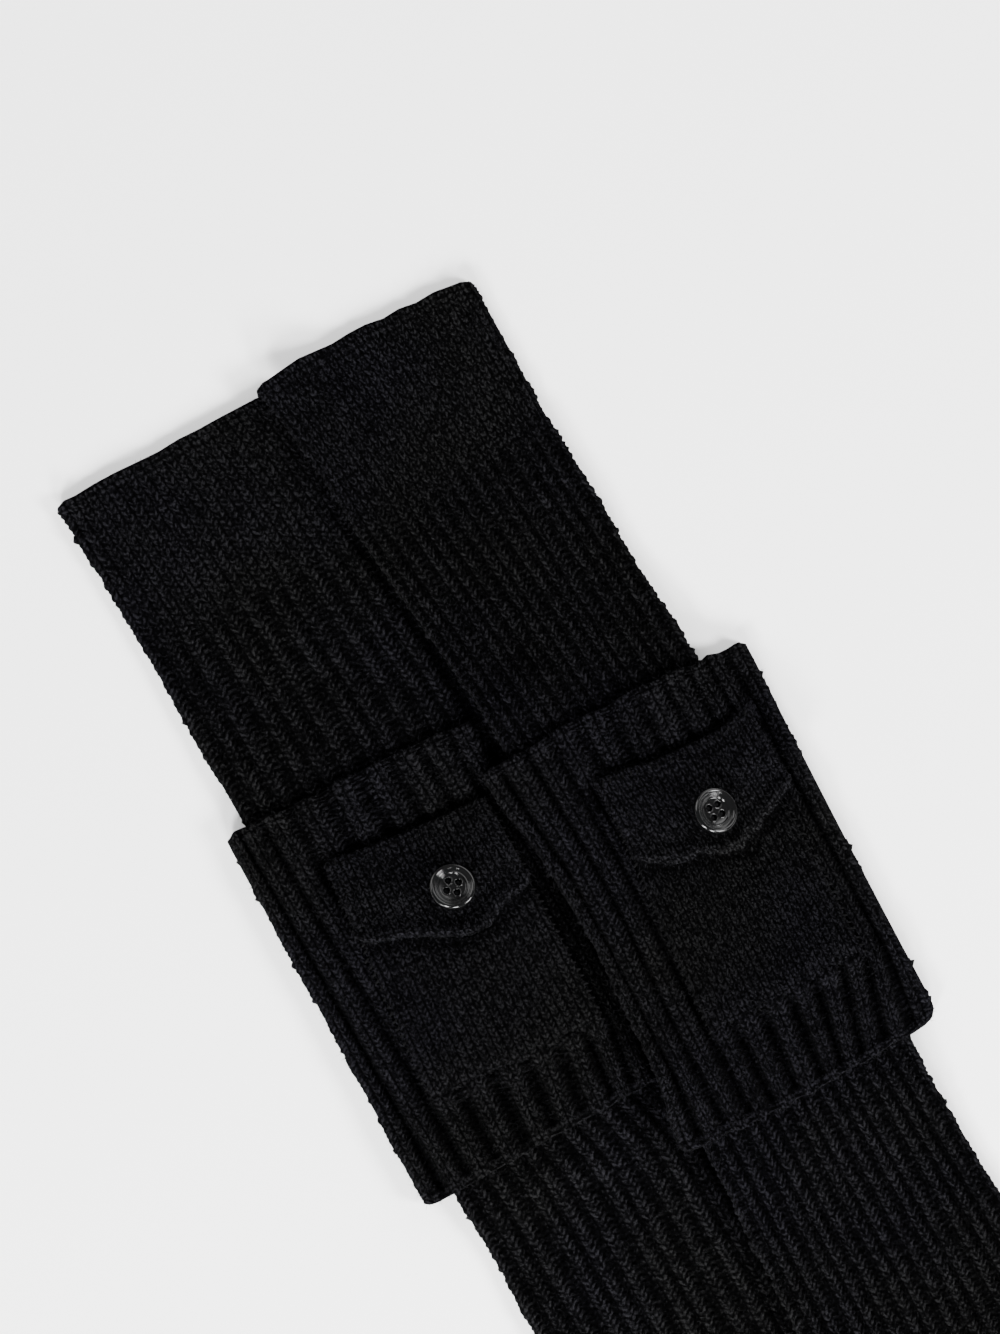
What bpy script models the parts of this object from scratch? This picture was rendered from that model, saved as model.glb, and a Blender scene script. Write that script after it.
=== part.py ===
"""A pair of chunky ribbed socks laid flat, the right one lying on the edge of the left one.

Each sock is a knitted leg-and-foot tube, a wide ribbed band worn round the leg as a loose
sleeve, a plain patch pocket on the band, a flap with a soft point over the pocket, and a
four-hole button on the flap. Sizes are in millimetres: +Y runs up the legs to the hems,
+Z is up, and the floor is at 0. The pair is centred on the origin at the end.
"""
import bisect
import math
from typing import NamedTuple

import bmesh
import bpy
from mathutils import Matrix, Vector

MM = 0.001

# ---------------------------------------------------------------- driving sizes, millimetres
SEAM_GAP = 0.3          # between pieces that are sewn to or lie on each other
LEG_UNDER = 1.9         # wall of a leg's lower layer
LEG_SLIT = 0.4          # between a leg's two layers
LEG_UPPER = 1.6         # wall of a leg's upper layer, in the grooves of its ribs
LEG_RIB = 0.9           # height of a leg's ribs over their grooves
BAND_UNDER = 1.9
BAND_SLIT = 0.5
BAND_UPPER = 1.5
BAND_RIB = 1.3          # height of the band's ribs beside the pocket
BAND_RIB_GATHERED = 2.2  # and where they are drawn in under it
BAND_MOUTH = 1.0        # how far the band's open upper edge stands off the leg
SIDE_WALL = 1.9         # wall at the folded sides of a tube
SHOULDER = 0.24         # a rib's sloping side, as a share of its width
POCKET_CLOTH = 1.7
POCKET_FULLNESS = 0.7
FLAP_CLOTH = 1.9
DRAPE = 18.0            # how far from an edge below it a sock comes down to the floor
DRAPE_CLEAR = 0.5       # room over what it lies on
FEEL = 2.0              # what lies on something looks this far round each point
NEARBY = ((0.0, 0.0), (-FEEL, 0.0), (FEEL, 0.0), (0.0, -FEEL), (0.0, FEEL))

BUTTON_RADIUS = 7.5
BUTTON_HEIGHT = 3.5
BUTTON_HOLE_RADIUS = 1.05
BUTTON_HOLE_PITCH = 3.35  # hole to hole along a side of their square
BUTTON_SIDES = 28
HOLE_SIDES = 10

CLOTH_COLOUR = (0.010, 0.010, 0.012, 1.0)
BUTTON_COLOUR = (0.006, 0.006, 0.007, 1.0)


# ---------------------------------------------------------------- tables
class LegRow(NamedTuple):
    """One ring of a leg: its sides, the height up the leg, and how its middle bows up."""
    west: float
    east: float
    y: float
    slant: float = 0.0      # how much lower the east side is
    bow: float = 0.0
    ribs: float = 1.0       # share of the full rib height


class FootRow(NamedTuple):
    """One ring of the left foot, from the instep edge to the heel and sole edge."""
    instep_x: float
    instep_y: float
    sole_x: float
    sole_y: float
    ribs: float
    reach: float            # share of the ring, from the instep, that is ribbed
    full: float = 1.0       # share of the full thickness


class Ring(NamedTuple):
    west: tuple
    east: tuple
    bow: float
    ribs: float
    reach: float
    full: float


LEFT_LEG = [
    LegRow(-97.3, -21.5, 113.2, slant=2.4, bow=0.3, ribs=0.0),
    LegRow(-97.2, -20.4, 107.0, slant=1.2, ribs=0.0),
    LegRow(-96.8, -18.2, 93.0, ribs=0.0),
    LegRow(-96.4, -16.8, 77.0, ribs=0.0),
    LegRow(-96.0, -16.2, 65.0, ribs=0.0),
    LegRow(-96.0, -15.8, 59.0),
    LegRow(-95.8, -14.4, 43.0),
    LegRow(-95.7, -12.2, 23.0),
    LegRow(-95.7, -10.8, 7.0),
    LegRow(-95.6, -11.0, -3.0),
    LegRow(-95.4, -15.5, -14.0),
    LegRow(-95.0, -24.0, -29.0),
    LegRow(-95.0, -27.0, -48.0),
    LegRow(-95.0, -27.0, -92.0),
    LegRow(-95.0, -25.5, -120.0),
    LegRow(-94.8, -20.5, -139.0),
    LegRow(-94.6, -16.2, -152.0),
    LegRow(-94.5, -15.4, -160.0),
    LegRow(-94.5, -15.0, -169.0),
    LegRow(-94.5, -15.0, -194.0),
    LegRow(-94.5, -15.3, -220.0),
    LegRow(-94.5, -15.5, -245.0),
]

RIGHT_LEG = [
    LegRow(-24.1, 52.9, 114.5, slant=3.2, bow=1.2, ribs=0.0),
    LegRow(-22.8, 52.9, 107.0, slant=1.0, bow=0.6, ribs=0.0),
    LegRow(-20.6, 52.8, 94.0, ribs=0.0),
    LegRow(-19.3, 52.6, 77.0, ribs=0.0),
    LegRow(-19.0, 52.3, 65.5, ribs=0.0),
    LegRow(-18.9, 52.4, 59.5),
    LegRow(-17.4, 53.0, 43.0),
    LegRow(-15.4, 53.6, 23.0),
    LegRow(-13.4, 54.2, 3.0),
    LegRow(-12.0, 54.8, -13.0),
    LegRow(-11.5, 55.4, -24.5),
    LegRow(-11.5, 55.6, -34.0),
    LegRow(-12.0, 56.0, -62.0),
    LegRow(-12.8, 56.0, -92.0),
    LegRow(-14.2, 56.0, -120.0),
    LegRow(-16.2, 55.7, -138.0),
    LegRow(-17.6, 55.4, -152.0),
    LegRow(-18.3, 55.2, -159.5),
    LegRow(-18.9, 55.0, -167.0),
    LegRow(-19.2, 54.9, -179.0),
    LegRow(-20.2, 55.3, -198.0),
    LegRow(-21.5, 55.8, -224.0),
    LegRow(-22.8, 56.0, -245.0),
]

LEFT_FOOT = [
    FootRow(-95.2, -256.0, -12.5, -268.0, 1.00, 0.75),
    FootRow(-97.4, -263.0, -8.0, -292.0, 1.00, 0.62),
    FootRow(-100.5, -268.5, -9.0, -313.0, 1.00, 0.56),
    FootRow(-105.0, -272.5, -17.5, -330.5, 1.00, 0.52),
    FootRow(-111.0, -276.0, -33.0, -341.0, 1.00, 0.50),
    FootRow(-119.0, -279.5, -54.0, -345.5, 1.00, 0.50),
    FootRow(-131.0, -283.2, -82.0, -346.5, 1.00, 0.50),
    FootRow(-149.0, -287.2, -114.0, -346.3, 1.00, 0.50),
    FootRow(-168.0, -290.6, -146.0, -345.8, 1.00, 0.50),
    FootRow(-186.0, -293.6, -174.0, -345.2, 0.80, 0.50),
    FootRow(-200.0, -296.6, -194.0, -344.2, 0.00, 0.50),
    FootRow(-211.5, -301.0, -208.5, -341.0, 0.00, 0.50, 0.97),
    FootRow(-219.5, -307.5, -218.5, -335.0, 0.00, 0.50, 0.86),
    FootRow(-223.6, -315.0, -223.4, -328.0, 0.00, 0.50, 0.62),
]
INNER_ENDS_AT = -3      # the hollow of a foot stops two rings short of the toe's tip
FOOT_MIRROR = -38.5     # the right foot's x is this less the left foot's


class BandRow(NamedTuple):
    """One ring of a band: its sides, the height of its west side, and its bow."""
    west: float
    east: float
    y: float
    slant: float = 0.0
    bow: float = 0.0


LEFT_BAND = [
    BandRow(-103.0, -4.5, -4.8, slant=7.2, bow=0.6),
    BandRow(-103.2, -5.0, -9.0, slant=6.6, bow=0.5),
    BandRow(-103.4, -6.5, -22.0, slant=5.0),
    BandRow(-103.6, -8.6, -40.0, slant=3.0),
    BandRow(-103.7, -10.6, -62.0, slant=2.0),
    BandRow(-104.0, -12.2, -88.0, slant=1.0),
    BandRow(-104.6, -12.6, -110.0, slant=0.5),
    BandRow(-104.9, -12.4, -124.0, slant=0.5),
    BandRow(-105.0, -12.6, -133.0, slant=0.5),
    BandRow(-104.4, -13.6, -138.2, slant=0.3),
]

RIGHT_BAND = [
    BandRow(-22.9, 72.0, -27.6, slant=4.1, bow=2.0),
    BandRow(-22.6, 71.8, -34.0, slant=3.6, bow=1.4),
    BandRow(-20.6, 71.2, -48.0, slant=2.6, bow=0.8),
    BandRow(-18.4, 70.4, -62.0, slant=2.0),
    BandRow(-16.6, 69.2, -92.0, slant=2.0),
    BandRow(-18.7, 68.3, -120.0, slant=2.0),
    BandRow(-21.2, 67.8, -138.0, slant=2.4),
    BandRow(-24.2, 67.5, -152.0, slant=3.2, bow=-0.6),
    BandRow(-26.6, 67.3, -159.5, slant=3.6, bow=-1.8),
    BandRow(-24.6, 65.4, -163.2, slant=1.6, bow=-2.2),
]


class GrooveRow(NamedTuple):
    """Where the grooves between a band's ribs run, at one height."""
    y: float
    x: tuple


LEFT_GROOVES = [
    GrooveRow(-8.0, (-98.3, -91.0, -81.2, -68.8, -56.7, -45.0, -34.9, -25.4, -15.2)),
    GrooveRow(-114.0, (-97.6, -88.8, -77.3, -65.3, -54.5, -43.1, -33.9, -25.4, -18.0)),
    GrooveRow(-137.0, (-97.6, -88.1, -78.3, -67.2, -57.1, -47.2, -35.8, -28.8, -20.0)),
]

RIGHT_GROOVES = [
    GrooveRow(-29.0, (-15.2, -6.3, 1.6, 11.7, 22.8, 33.0, 42.2, 51.4, 57.7, 64.4)),
    GrooveRow(-136.0, (-16.0, -8.9, -0.3, 8.6, 18.4, 28.5, 37.4, 47.2, 55.5, 62.2)),
    GrooveRow(-161.0, (-18.1, -9.6, -1.3, 6.7, 15.5, 25.0, 32.3, 39.3, 47.9, 57.0)),
]


class Pocket(NamedTuple):
    """A patch pocket: corners of its upper and lower edges."""
    west_top: tuple
    east_top: tuple
    west_bottom: tuple
    east_bottom: tuple


LEFT_POCKET = Pocket((-79.6, -29.0), (-23.8, -35.0), (-86.8, -111.0), (-26.5, -115.4))
RIGHT_POCKET = Pocket((8.4, -49.5), (58.0, -53.5), (0.4, -135.6), (56.2, -136.8))


class FlapColumn(NamedTuple):
    """One line down a flap, from its sewn upper edge to its free lower edge."""
    x_top: float
    y_top: float
    x_bottom: float
    y_bottom: float


LEFT_FLAP = [
    FlapColumn(-79.3, -27.6, -81.5, -54.0),
    FlapColumn(-78.4, -27.0, -80.0, -55.6),
    FlapColumn(-73.0, -28.2, -74.6, -57.6),
    FlapColumn(-66.0, -29.3, -67.2, -60.6),
    FlapColumn(-60.0, -30.2, -60.8, -64.0),
    FlapColumn(-55.0, -30.9, -55.4, -67.8),
    FlapColumn(-49.2, -31.7, -49.6, -70.4),
    FlapColumn(-43.0, -32.4, -43.2, -69.6),
    FlapColumn(-37.2, -32.9, -37.4, -66.8),
    FlapColumn(-31.0, -33.3, -31.2, -64.9),
    FlapColumn(-25.6, -33.6, -25.6, -64.2),
    FlapColumn(-24.4, -34.4, -24.4, -62.8),
]

RIGHT_FLAP = [
    FlapColumn(7.2, -47.4, 8.2, -75.6),
    FlapColumn(8.2, -46.7, 9.6, -77.4),
    FlapColumn(14.0, -47.4, 15.2, -80.2),
    FlapColumn(20.0, -48.4, 21.2, -82.2),
    FlapColumn(26.0, -50.2, 27.2, -84.0),
    FlapColumn(32.0, -50.8, 33.0, -86.8),
    FlapColumn(38.6, -51.4, 39.4, -88.2),
    FlapColumn(44.0, -51.8, 44.6, -85.6),
    FlapColumn(49.4, -52.0, 49.8, -82.6),
    FlapColumn(55.0, -51.2, 55.6, -80.4),
    FlapColumn(61.0, -50.0, 61.4, -78.0),
    FlapColumn(62.2, -50.8, 62.4, -76.2),
]


class ButtonPlace(NamedTuple):
    """Where a button sits and how it hangs on its thread, in degrees."""
    x: float
    y: float
    tilt: float
    high_side: float        # turn of its raised side, from the west
    hole_turn: float


LEFT_BUTTON = ButtonPlace(-47.6, -53.4, 18.0, 46.0, 52.0)
RIGHT_BUTTON = ButtonPlace(35.9, -73.0, 27.0, 0.0, -3.5)

LEFT_LEG_RIBS = 12      # on the upper layer; the rest of the 26 are under the sock
RIGHT_LEG_RIBS = 14
RIB_UNEVEN = 0.12       # how uneven the ribs are, as a share of their pitch

FOLD_ANGLES = (45.0, 90.0, 135.0)
LEAST_STEP = 0.6        # between the points of a ring


class Steps(NamedTuple):
    """Where a ring has points: at the x of a draped sock's bends, at distances in from its
    two sides, and at shares of its width between them."""
    bends: tuple = ()
    west: tuple = ()
    middle: tuple = ()
    east: tuple = ()

    def places(self, ring, width, margin):
        """Distances from the west side, kept in order and inside the two margins."""
        run = ring.east[0] - ring.west[0]
        found = [(x - ring.west[0]) / run * width for x in self.bends]
        found += list(self.west)
        found += [width * share for share in self.middle]
        found += [width - distance for distance in self.east]
        count = len(found)
        for k in range(count):
            found[k] = max(found[k], margin + LEAST_STEP * (k + 1))
        for k in range(count):
            found[k] = min(found[k], width - margin - LEAST_STEP * (count - k))
        return found


DRAPE_BENDS = (-22.0, -17.0, -12.0, -7.0, -2.0, 3.0, 9.0, 16.0)
PLAIN_STEPS = Steps(middle=(0.2, 0.4, 0.6, 0.8))
LEFT_BAND_ROOF = Steps(
    west=(5.5, 8.5, 12.0), middle=(0.35, 0.6), east=(21.0, 17.0, 13.0, 9.0, 5.5)
)
DRAPED_STEPS = Steps(bends=DRAPE_BENDS, middle=(0.8,))
RIGHT_BAND_ROOF = Steps(bends=DRAPE_BENDS, middle=(0.6,), east=(18.0, 13.0, 9.5, 5.5))


# ---------------------------------------------------------------- small helpers
def smooth(t):
    """0 below 0, 1 above 1, and an S curve between."""
    t = min(1.0, max(0.0, t))
    return t * t * (3.0 - 2.0 * t)


def blend(a, b, t):
    return a + (b - a) * t


def lookup(keys, values, key):
    """Value at a key, along straight lines between the rows; keys rise."""
    if key <= keys[0]:
        return values[0]
    if key >= keys[-1]:
        return values[-1]
    i = bisect.bisect_right(keys, key)
    share = (key - keys[i - 1]) / (keys[i] - keys[i - 1])
    return blend(values[i - 1], values[i], share)


class Edge:
    """A side edge read from its points: x at a height y."""

    def __init__(self, points):
        ordered = sorted(points, key=lambda point: point[1])
        self.ys = [point[1] for point in ordered]
        self.xs = [point[0] for point in ordered]

    def x(self, y):
        return lookup(self.ys, self.xs, y)


def leg_rings(rows):
    return [
        Ring((row.west, row.y), (row.east, row.y - row.slant), row.bow, row.ribs, 1.0, 1.0)
        for row in rows
    ]


def foot_rings(rows, mirrored):
    """The foot's rings; the right foot is mirrored, so its instep is its east edge."""
    rings = []
    for row in rows:
        instep = (row.instep_x, row.instep_y)
        sole = (row.sole_x, row.sole_y)
        if mirrored:
            instep = (FOOT_MIRROR - instep[0], instep[1])
            sole = (FOOT_MIRROR - sole[0], sole[1])
            rings.append(Ring(sole, instep, 0.0, row.ribs, row.reach, row.full))
        else:
            rings.append(Ring(instep, sole, 0.0, row.ribs, row.reach, row.full))
    return rings


def band_rings(rows):
    return [
        Ring((row.west, row.y), (row.east, row.y - row.slant), row.bow, 1.0, 1.0, 1.0)
        for row in rows
    ]


# ---------------------------------------------------------------- one sock's heights
LEG_HEIGHT = LEG_UNDER + LEG_SLIT + LEG_UPPER + LEG_RIB
LEG_CLEAR = 0.5         # room between a leg and the layer of the band under it
BAND_STEP = BAND_UNDER + LEG_CLEAR
LIFT_OVER = 9.5         # a leg stays up on its band's wall for this much past the edge
LIFT_RUN = 14.0         # and comes down to the floor along this
DRAPE_OVER = 3.0        # the same for a sock that lies over a band's edge
DRAPE_RUN = 12.0
CONTENT_CLEAR = 0.5     # room between a leg and the band over it
CONTENT_RUN = 7.0       # the band comes down beside the leg along this
MOUTH_RUN = 14.0


class Sock:
    """The heights of one sock's layers over each point of the floor plan."""

    def __init__(self, leg, foot, band, pocket, ground, instep_is_west):
        self.leg = leg
        self.foot = foot
        self.band = band
        self.pocket = pocket
        self.ground = ground
        self.instep_is_west = instep_is_west
        self.leg_west = Edge([ring.west for ring in leg])
        self.leg_east = Edge([ring.east for ring in leg])
        self.heel_east = Edge([ring.east for ring in leg + foot[:5]])
        self.band_west = Edge([ring.west for ring in band])
        self.band_east = Edge([ring.east for ring in band])
        self.top = band[0]
        self.bottom = band[-1]

    def across(self, ring, x):
        """Height up the leg of a ring's line at x."""
        share = (x - ring.west[0]) / (ring.east[0] - ring.west[0])
        share = min(1.0, max(0.0, share))
        line = blend(ring.west[1], ring.east[1], share)
        return line + ring.bow * math.sin(math.pi * share)

    def in_band(self, x, y, over, run):
        """1 between the band's edges and a little over them, falling to 0 along a run."""
        above = y - self.across(self.top, x)
        below = self.across(self.bottom, x) - y
        outside = max(above, below) - over
        return 1.0 - smooth(outside / run)

    def leg_base(self, x, y):
        return self.ground(x, y) + BAND_STEP * self.in_band(x, y, LIFT_OVER, LIFT_RUN)

    def leg_roof(self, x, y):
        """Underside of the leg's upper layer."""
        return self.leg_base(x, y) + LEG_UNDER + LEG_SLIT

    def band_base(self, x, y):
        return self.ground(x, y)

    def band_roof(self, x, y):
        """Underside of the band's upper layer, which passes over the leg."""
        beside = max(self.leg_west.x(y) - x, x - self.leg_east.x(y)) - 0.6
        over_leg = 1.0 - smooth(beside / CONTENT_RUN)
        content = LEG_CLEAR + LEG_HEIGHT + CONTENT_CLEAR - BAND_SLIT
        mouth = 1.0 - smooth((self.across(self.top, x) - y) / MOUTH_RUN)
        lift = content * over_leg + BAND_MOUTH * mouth
        return self.ground(x, y) + BAND_UNDER + BAND_SLIT + lift

    def band_rib(self, y):
        """Rib height at a height up the leg: more where the band is gathered in."""
        gathered = smooth((self.pocket.west_bottom[1] + 6.0 - y) / 9.0)
        drawn_in = smooth((y - self.bottom.west[1]) / 4.0)
        full = blend(BAND_RIB, BAND_RIB_GATHERED, gathered)
        return full * blend(0.35, 1.0, drawn_in)

    def band_crest(self, x, y):
        return self.band_roof(x, y) + BAND_UPPER + self.band_rib(y)

    def pocket_base(self, x, y):
        """The pocket lies on the highest of the band's ribs near each point."""
        return SEAM_GAP + max(self.band_crest(x + dx, y + dy) for dx, dy in NEARBY)

    def flap_base(self, x, y):
        """The flap lies on the pocket and is sewn to the band above it."""
        return self.pocket_base(x, y) + POCKET_CLOTH + POCKET_FULLNESS + SEAM_GAP

    def cover(self, x, y):
        """How high something that lies over this sock's east side has to be."""
        leg_edge = self.heel_east.x(y)
        band_edge = self.band_east.x(y)
        leg_top = self.leg_base(min(x, leg_edge), y) + LEG_HEIGHT
        held = 1.0 - smooth((x - leg_edge - 1.5) / DRAPE)
        height = leg_top * held
        inside = min(x, band_edge - 2.0)
        beyond = 1.0 - smooth((x - band_edge - 1.5) / DRAPE)
        near_band = self.in_band(inside, y, DRAPE_OVER, DRAPE_RUN)
        over_band = self.band_crest(inside, y) * beyond * near_band
        return max(height, over_band)


def draped_over(sock):
    """Ground for a sock that lies partly on another one, straight between its bends."""
    def height(x, y):
        highest = max(sock.cover(x + dx, y + dy) for dx, dy in NEARBY)
        return highest + DRAPE_CLEAR * min(1.0, highest)

    def ground(x, y):
        if x >= DRAPE_BENDS[-1]:
            return 0.0
        k = bisect.bisect_right(DRAPE_BENDS, x)
        if k == 0:
            return height(DRAPE_BENDS[0], y)
        start = DRAPE_BENDS[k - 1]
        end = DRAPE_BENDS[k]
        end_height = 0.0 if end == DRAPE_BENDS[-1] else height(end, y)
        return blend(height(start, y), end_height, (x - start) / (end - start))
    return ground


def floor(_x, _y):
    return 0.0


# ---------------------------------------------------------------- flattened tubes
class Tube(NamedTuple):
    """What the rings of a flattened tube are worked out from."""
    base: callable          # underside
    roof: callable          # underside of the upper layer
    under: float            # lower wall
    upper: float            # upper wall in a groove
    rib: callable           # rib height at (ring, share of the width, y)
    grooves: callable       # shares of the width at which a ring's grooves run
    under_steps: Steps      # points of the lower layer
    roof_steps: Steps       # points of the upper layer's plain underside


class Section:
    """One ring of a tube, with its outer and its inner loop of points."""

    def __init__(self, ring, tube):
        self.ring = ring
        self.tube = tube
        west = Vector(ring.west)
        east = Vector(ring.east)
        self.width = (east - west).length
        side = 2.4
        self.radius = 0.5 * (self.upper_z(side, 0.6) - self.lower_z(side))

    def plan(self, s):
        """Floor plan point at a distance s from the west side."""
        share = s / self.width
        x = blend(self.ring.west[0], self.ring.east[0], share)
        y = blend(self.ring.west[1], self.ring.east[1], share)
        return x, y + self.ring.bow * math.sin(math.pi * min(1.0, max(0.0, share)))

    def lower_z(self, s):
        return self.tube.base(*self.plan(s))

    def upper_z(self, s, crest):
        """Top of the tube; crest is 0 in a groove and 1 on a rib."""
        x, y = self.plan(s)
        rib = self.tube.rib(self.ring, s / self.width, y)
        top = self.tube.roof(x, y) + self.tube.upper + rib * crest
        low = self.tube.base(x, y)
        return low + (top - low) * self.ring.full

    def fold(self, at_west, rising):
        """Points round a folded side, between the lower and the upper face."""
        r = self.radius
        end = r if at_west else self.width - r
        outward = -1.0 if at_west else 1.0
        low = self.lower_z(end)
        points = []
        angles = FOLD_ANGLES if rising else tuple(reversed(FOLD_ANGLES))
        for degrees in angles:
            a = math.radians(degrees)
            x, y = self.plan(end + outward * r * math.sin(a))
            points.append((x, y, low + r - r * math.cos(a)))
        return points

    def outer(self):
        """Loop of (order, point): lower face, east fold, upper face, west fold."""
        r = self.radius
        lower = [r] + self.tube.under_steps.places(self.ring, self.width, r) + [self.width - r]
        loop = [(s / self.width, (*self.plan(s), self.lower_z(s))) for s in lower]
        for i, point in enumerate(self.fold(at_west=False, rising=True)):
            loop.append((1.05 + 0.05 * i, point))
        bounds = [r] + [g * self.width for g in self.tube.grooves(self.ring)]
        bounds.append(self.width - r)
        upper = [(r, 0.6)]
        for start, end in zip(bounds, bounds[1:]):
            pitch = end - start
            upper.append((start + SHOULDER * pitch, 1.0))
            upper.append((end - SHOULDER * pitch, 1.0))
            upper.append((end, 0.0))
        upper[-1] = (self.width - r, 0.6)
        for s, crest in reversed(upper):
            point = (*self.plan(s), self.upper_z(s, crest))
            loop.append((2.25 - s / self.width, point))
        for i, point in enumerate(self.fold(at_west=True, rising=False)):
            loop.append((2.30 + 0.05 * i, point))
        return loop

    def inner(self):
        """Loop of (order, point) round the hollow between the two layers."""
        edge = SIDE_WALL + 0.5
        far_edge = self.width - edge
        loop = []
        for s in [edge, *self.tube.under_steps.places(self.ring, self.width, edge), far_edge]:
            x, y = self.plan(s)
            loop.append((s / self.width, (x, y, self.tube.base(x, y) + self.tube.under)))
        loop.append((1.10, self.slit_end(self.width - SIDE_WALL)))
        roof_places = self.tube.roof_steps.places(self.ring, self.width, edge)
        for s in reversed([edge, *roof_places, far_edge]):
            x, y = self.plan(s)
            base = self.tube.base(x, y)
            roof = base + (self.tube.roof(x, y) - base) * self.ring.full
            lowest = base + self.tube.under + 0.3 * LEG_SLIT
            loop.append((2.25 - s / self.width, (x, y, max(roof, lowest))))
        loop.append((2.35, self.slit_end(SIDE_WALL)))
        return loop

    def slit_end(self, s):
        x, y = self.plan(s)
        return (x, y, self.tube.base(x, y) + self.tube.under + 0.4 * LEG_SLIT)


def add_loop(bm, loop):
    return [bm.verts.new(Vector(point) * MM) for _order, point in loop]


def skin(bm, rings):
    """Quads between each loop of vertices and the next."""
    for ring, following in zip(rings, rings[1:]):
        count = len(ring)
        for i in range(count):
            j = (i + 1) % count
            bm.faces.new((ring[i], ring[j], following[j], following[i]))


def rim(bm, outer, outer_loop, inner, inner_loop):
    """Closes the wall at an open end, pairing the two loops by their order."""
    i = 0
    j = 0
    while i < len(outer) or j < len(inner):
        next_outer = outer_loop[i + 1][0] if i + 1 < len(outer) else 9.0 + i - len(outer)
        next_inner = inner_loop[j + 1][0] if j + 1 < len(inner) else 9.0 + j - len(inner)
        a = outer[i % len(outer)]
        b = inner[j % len(inner)]
        step_outer = j >= len(inner) or (i < len(outer) and next_outer <= next_inner)
        if step_outer:
            bm.faces.new((a, outer[(i + 1) % len(outer)], b))
            i += 1
        else:
            bm.faces.new((a, inner[(j + 1) % len(inner)], b))
            j += 1


def tube_object(name, rings, tube, colour, closed_toe):
    """A flattened tube with a hollow: open at its first ring, and at its last one too
    unless its toe is closed."""
    bm = bmesh.new()
    sections = [Section(ring, tube) for ring in rings]
    outer_loops = [section.outer() for section in sections]
    inner_sections = sections[:INNER_ENDS_AT + 1] if closed_toe else sections
    inner_loops = [section.inner() for section in inner_sections]
    outer = [add_loop(bm, loop) for loop in outer_loops]
    inner = [add_loop(bm, loop) for loop in inner_loops]
    skin(bm, outer)
    skin(bm, inner)
    rim(bm, outer[0], outer_loops[0], inner[0], inner_loops[0])
    if closed_toe:
        bm.faces.new(outer[-1])
        bm.faces.new(inner[-1])
    else:
        rim(bm, outer[-1], outer_loops[-1], inner[-1], inner_loops[-1])
    bmesh.ops.triangulate(bm, faces=bm.faces[:])
    return finish(name, bm, colour, roughness=0.9)


# ---------------------------------------------------------------- flat pieces
def slab_object(name, plan, across, along, base, top, colour):
    """A sewn-on piece: a grid over its plan, with a lower and an upper face.

    plan gives (x, y) at shares across and along it, base its underside at (x, y), and top
    its upper face at (x, y, share across, share along)."""
    bm = bmesh.new()
    faces_of = []
    for upper in (False, True):
        grid = []
        for v in along:
            row = []
            for u in across:
                x, y = plan(u, v)
                z = top(x, y, u, v) if upper else base(x, y)
                row.append(bm.verts.new(Vector((x, y, z)) * MM))
            grid.append(row)
        faces_of.append(grid)
    low, high = faces_of
    for grid in faces_of:
        for r in range(len(along) - 1):
            for c in range(len(across) - 1):
                corners = (grid[r][c], grid[r][c + 1], grid[r + 1][c + 1], grid[r + 1][c])
                bm.faces.new(corners)
    border = edge_walk(len(along), len(across))
    for (r0, c0), (r1, c1) in zip(border, border[1:] + border[:1]):
        bm.faces.new((low[r0][c0], low[r1][c1], high[r1][c1], high[r0][c0]))
    bmesh.ops.triangulate(bm, faces=bm.faces[:])
    return finish(name, bm, colour, roughness=0.9)


def edge_walk(rows, columns):
    """Grid places round the border, in order."""
    walk = [(0, c) for c in range(columns)]
    walk += [(r, columns - 1) for r in range(1, rows)]
    walk += [(rows - 1, c) for c in range(columns - 2, -1, -1)]
    walk += [(r, 0) for r in range(rows - 2, 0, -1)]
    return walk


def is_border(u, v):
    return u in (0.0, 1.0) or v in (0.0, 1.0)


def pocket_object(name, sock, colour):
    pocket = sock.pocket

    def plan(u, v):
        left = [blend(a, b, v) for a, b in zip(pocket.west_top, pocket.west_bottom)]
        right = [blend(a, b, v) for a, b in zip(pocket.east_top, pocket.east_bottom)]
        return blend(left[0], right[0], u), blend(left[1], right[1], u)

    def top(x, y, u, v):
        thick = POCKET_CLOTH * (0.55 if is_border(u, v) else 1.0)
        fullness = POCKET_FULLNESS * math.sin(math.pi * u) * math.sin(math.pi * v)
        return sock.pocket_base(x, y) + thick + fullness

    across = (0.0, 0.025, 0.18, 0.39, 0.61, 0.82, 0.975, 1.0)
    along = (0.0, 0.015, 0.2, 0.4, 0.6, 0.8, 0.985, 1.0)
    return slab_object(name, plan, across, along, sock.pocket_base, top, colour)


def flap_object(name, sock, columns, colour):
    shares = [i / (len(columns) - 1) for i in range(len(columns))]

    def plan(u, v):
        column = columns[round(u * (len(columns) - 1))]
        x = blend(column.x_top, column.x_bottom, v)
        return x, blend(column.y_top, column.y_bottom, v)

    def top(x, y, u, v):
        thick = FLAP_CLOTH * (0.55 if is_border(u, v) else 1.0)
        return sock.flap_base(x, y) + thick

    along = (0.0, 0.05, 0.28, 0.52, 0.76, 0.95, 1.0)
    return slab_object(name, plan, shares, along, sock.flap_base, top, colour)


# ---------------------------------------------------------------- buttons
BUTTON_PROFILE = [      # (share of the radius, share of the height), top centre to base
    (0.0, 0.64),
    (0.62, 0.64),
    (0.70, 0.82),
    (0.77, 1.00),
    (0.87, 0.97),
    (0.95, 0.82),
    (1.0, 0.55),
    (0.97, 0.25),
    (0.72, 0.0),
    (0.0, 0.0),
]


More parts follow.
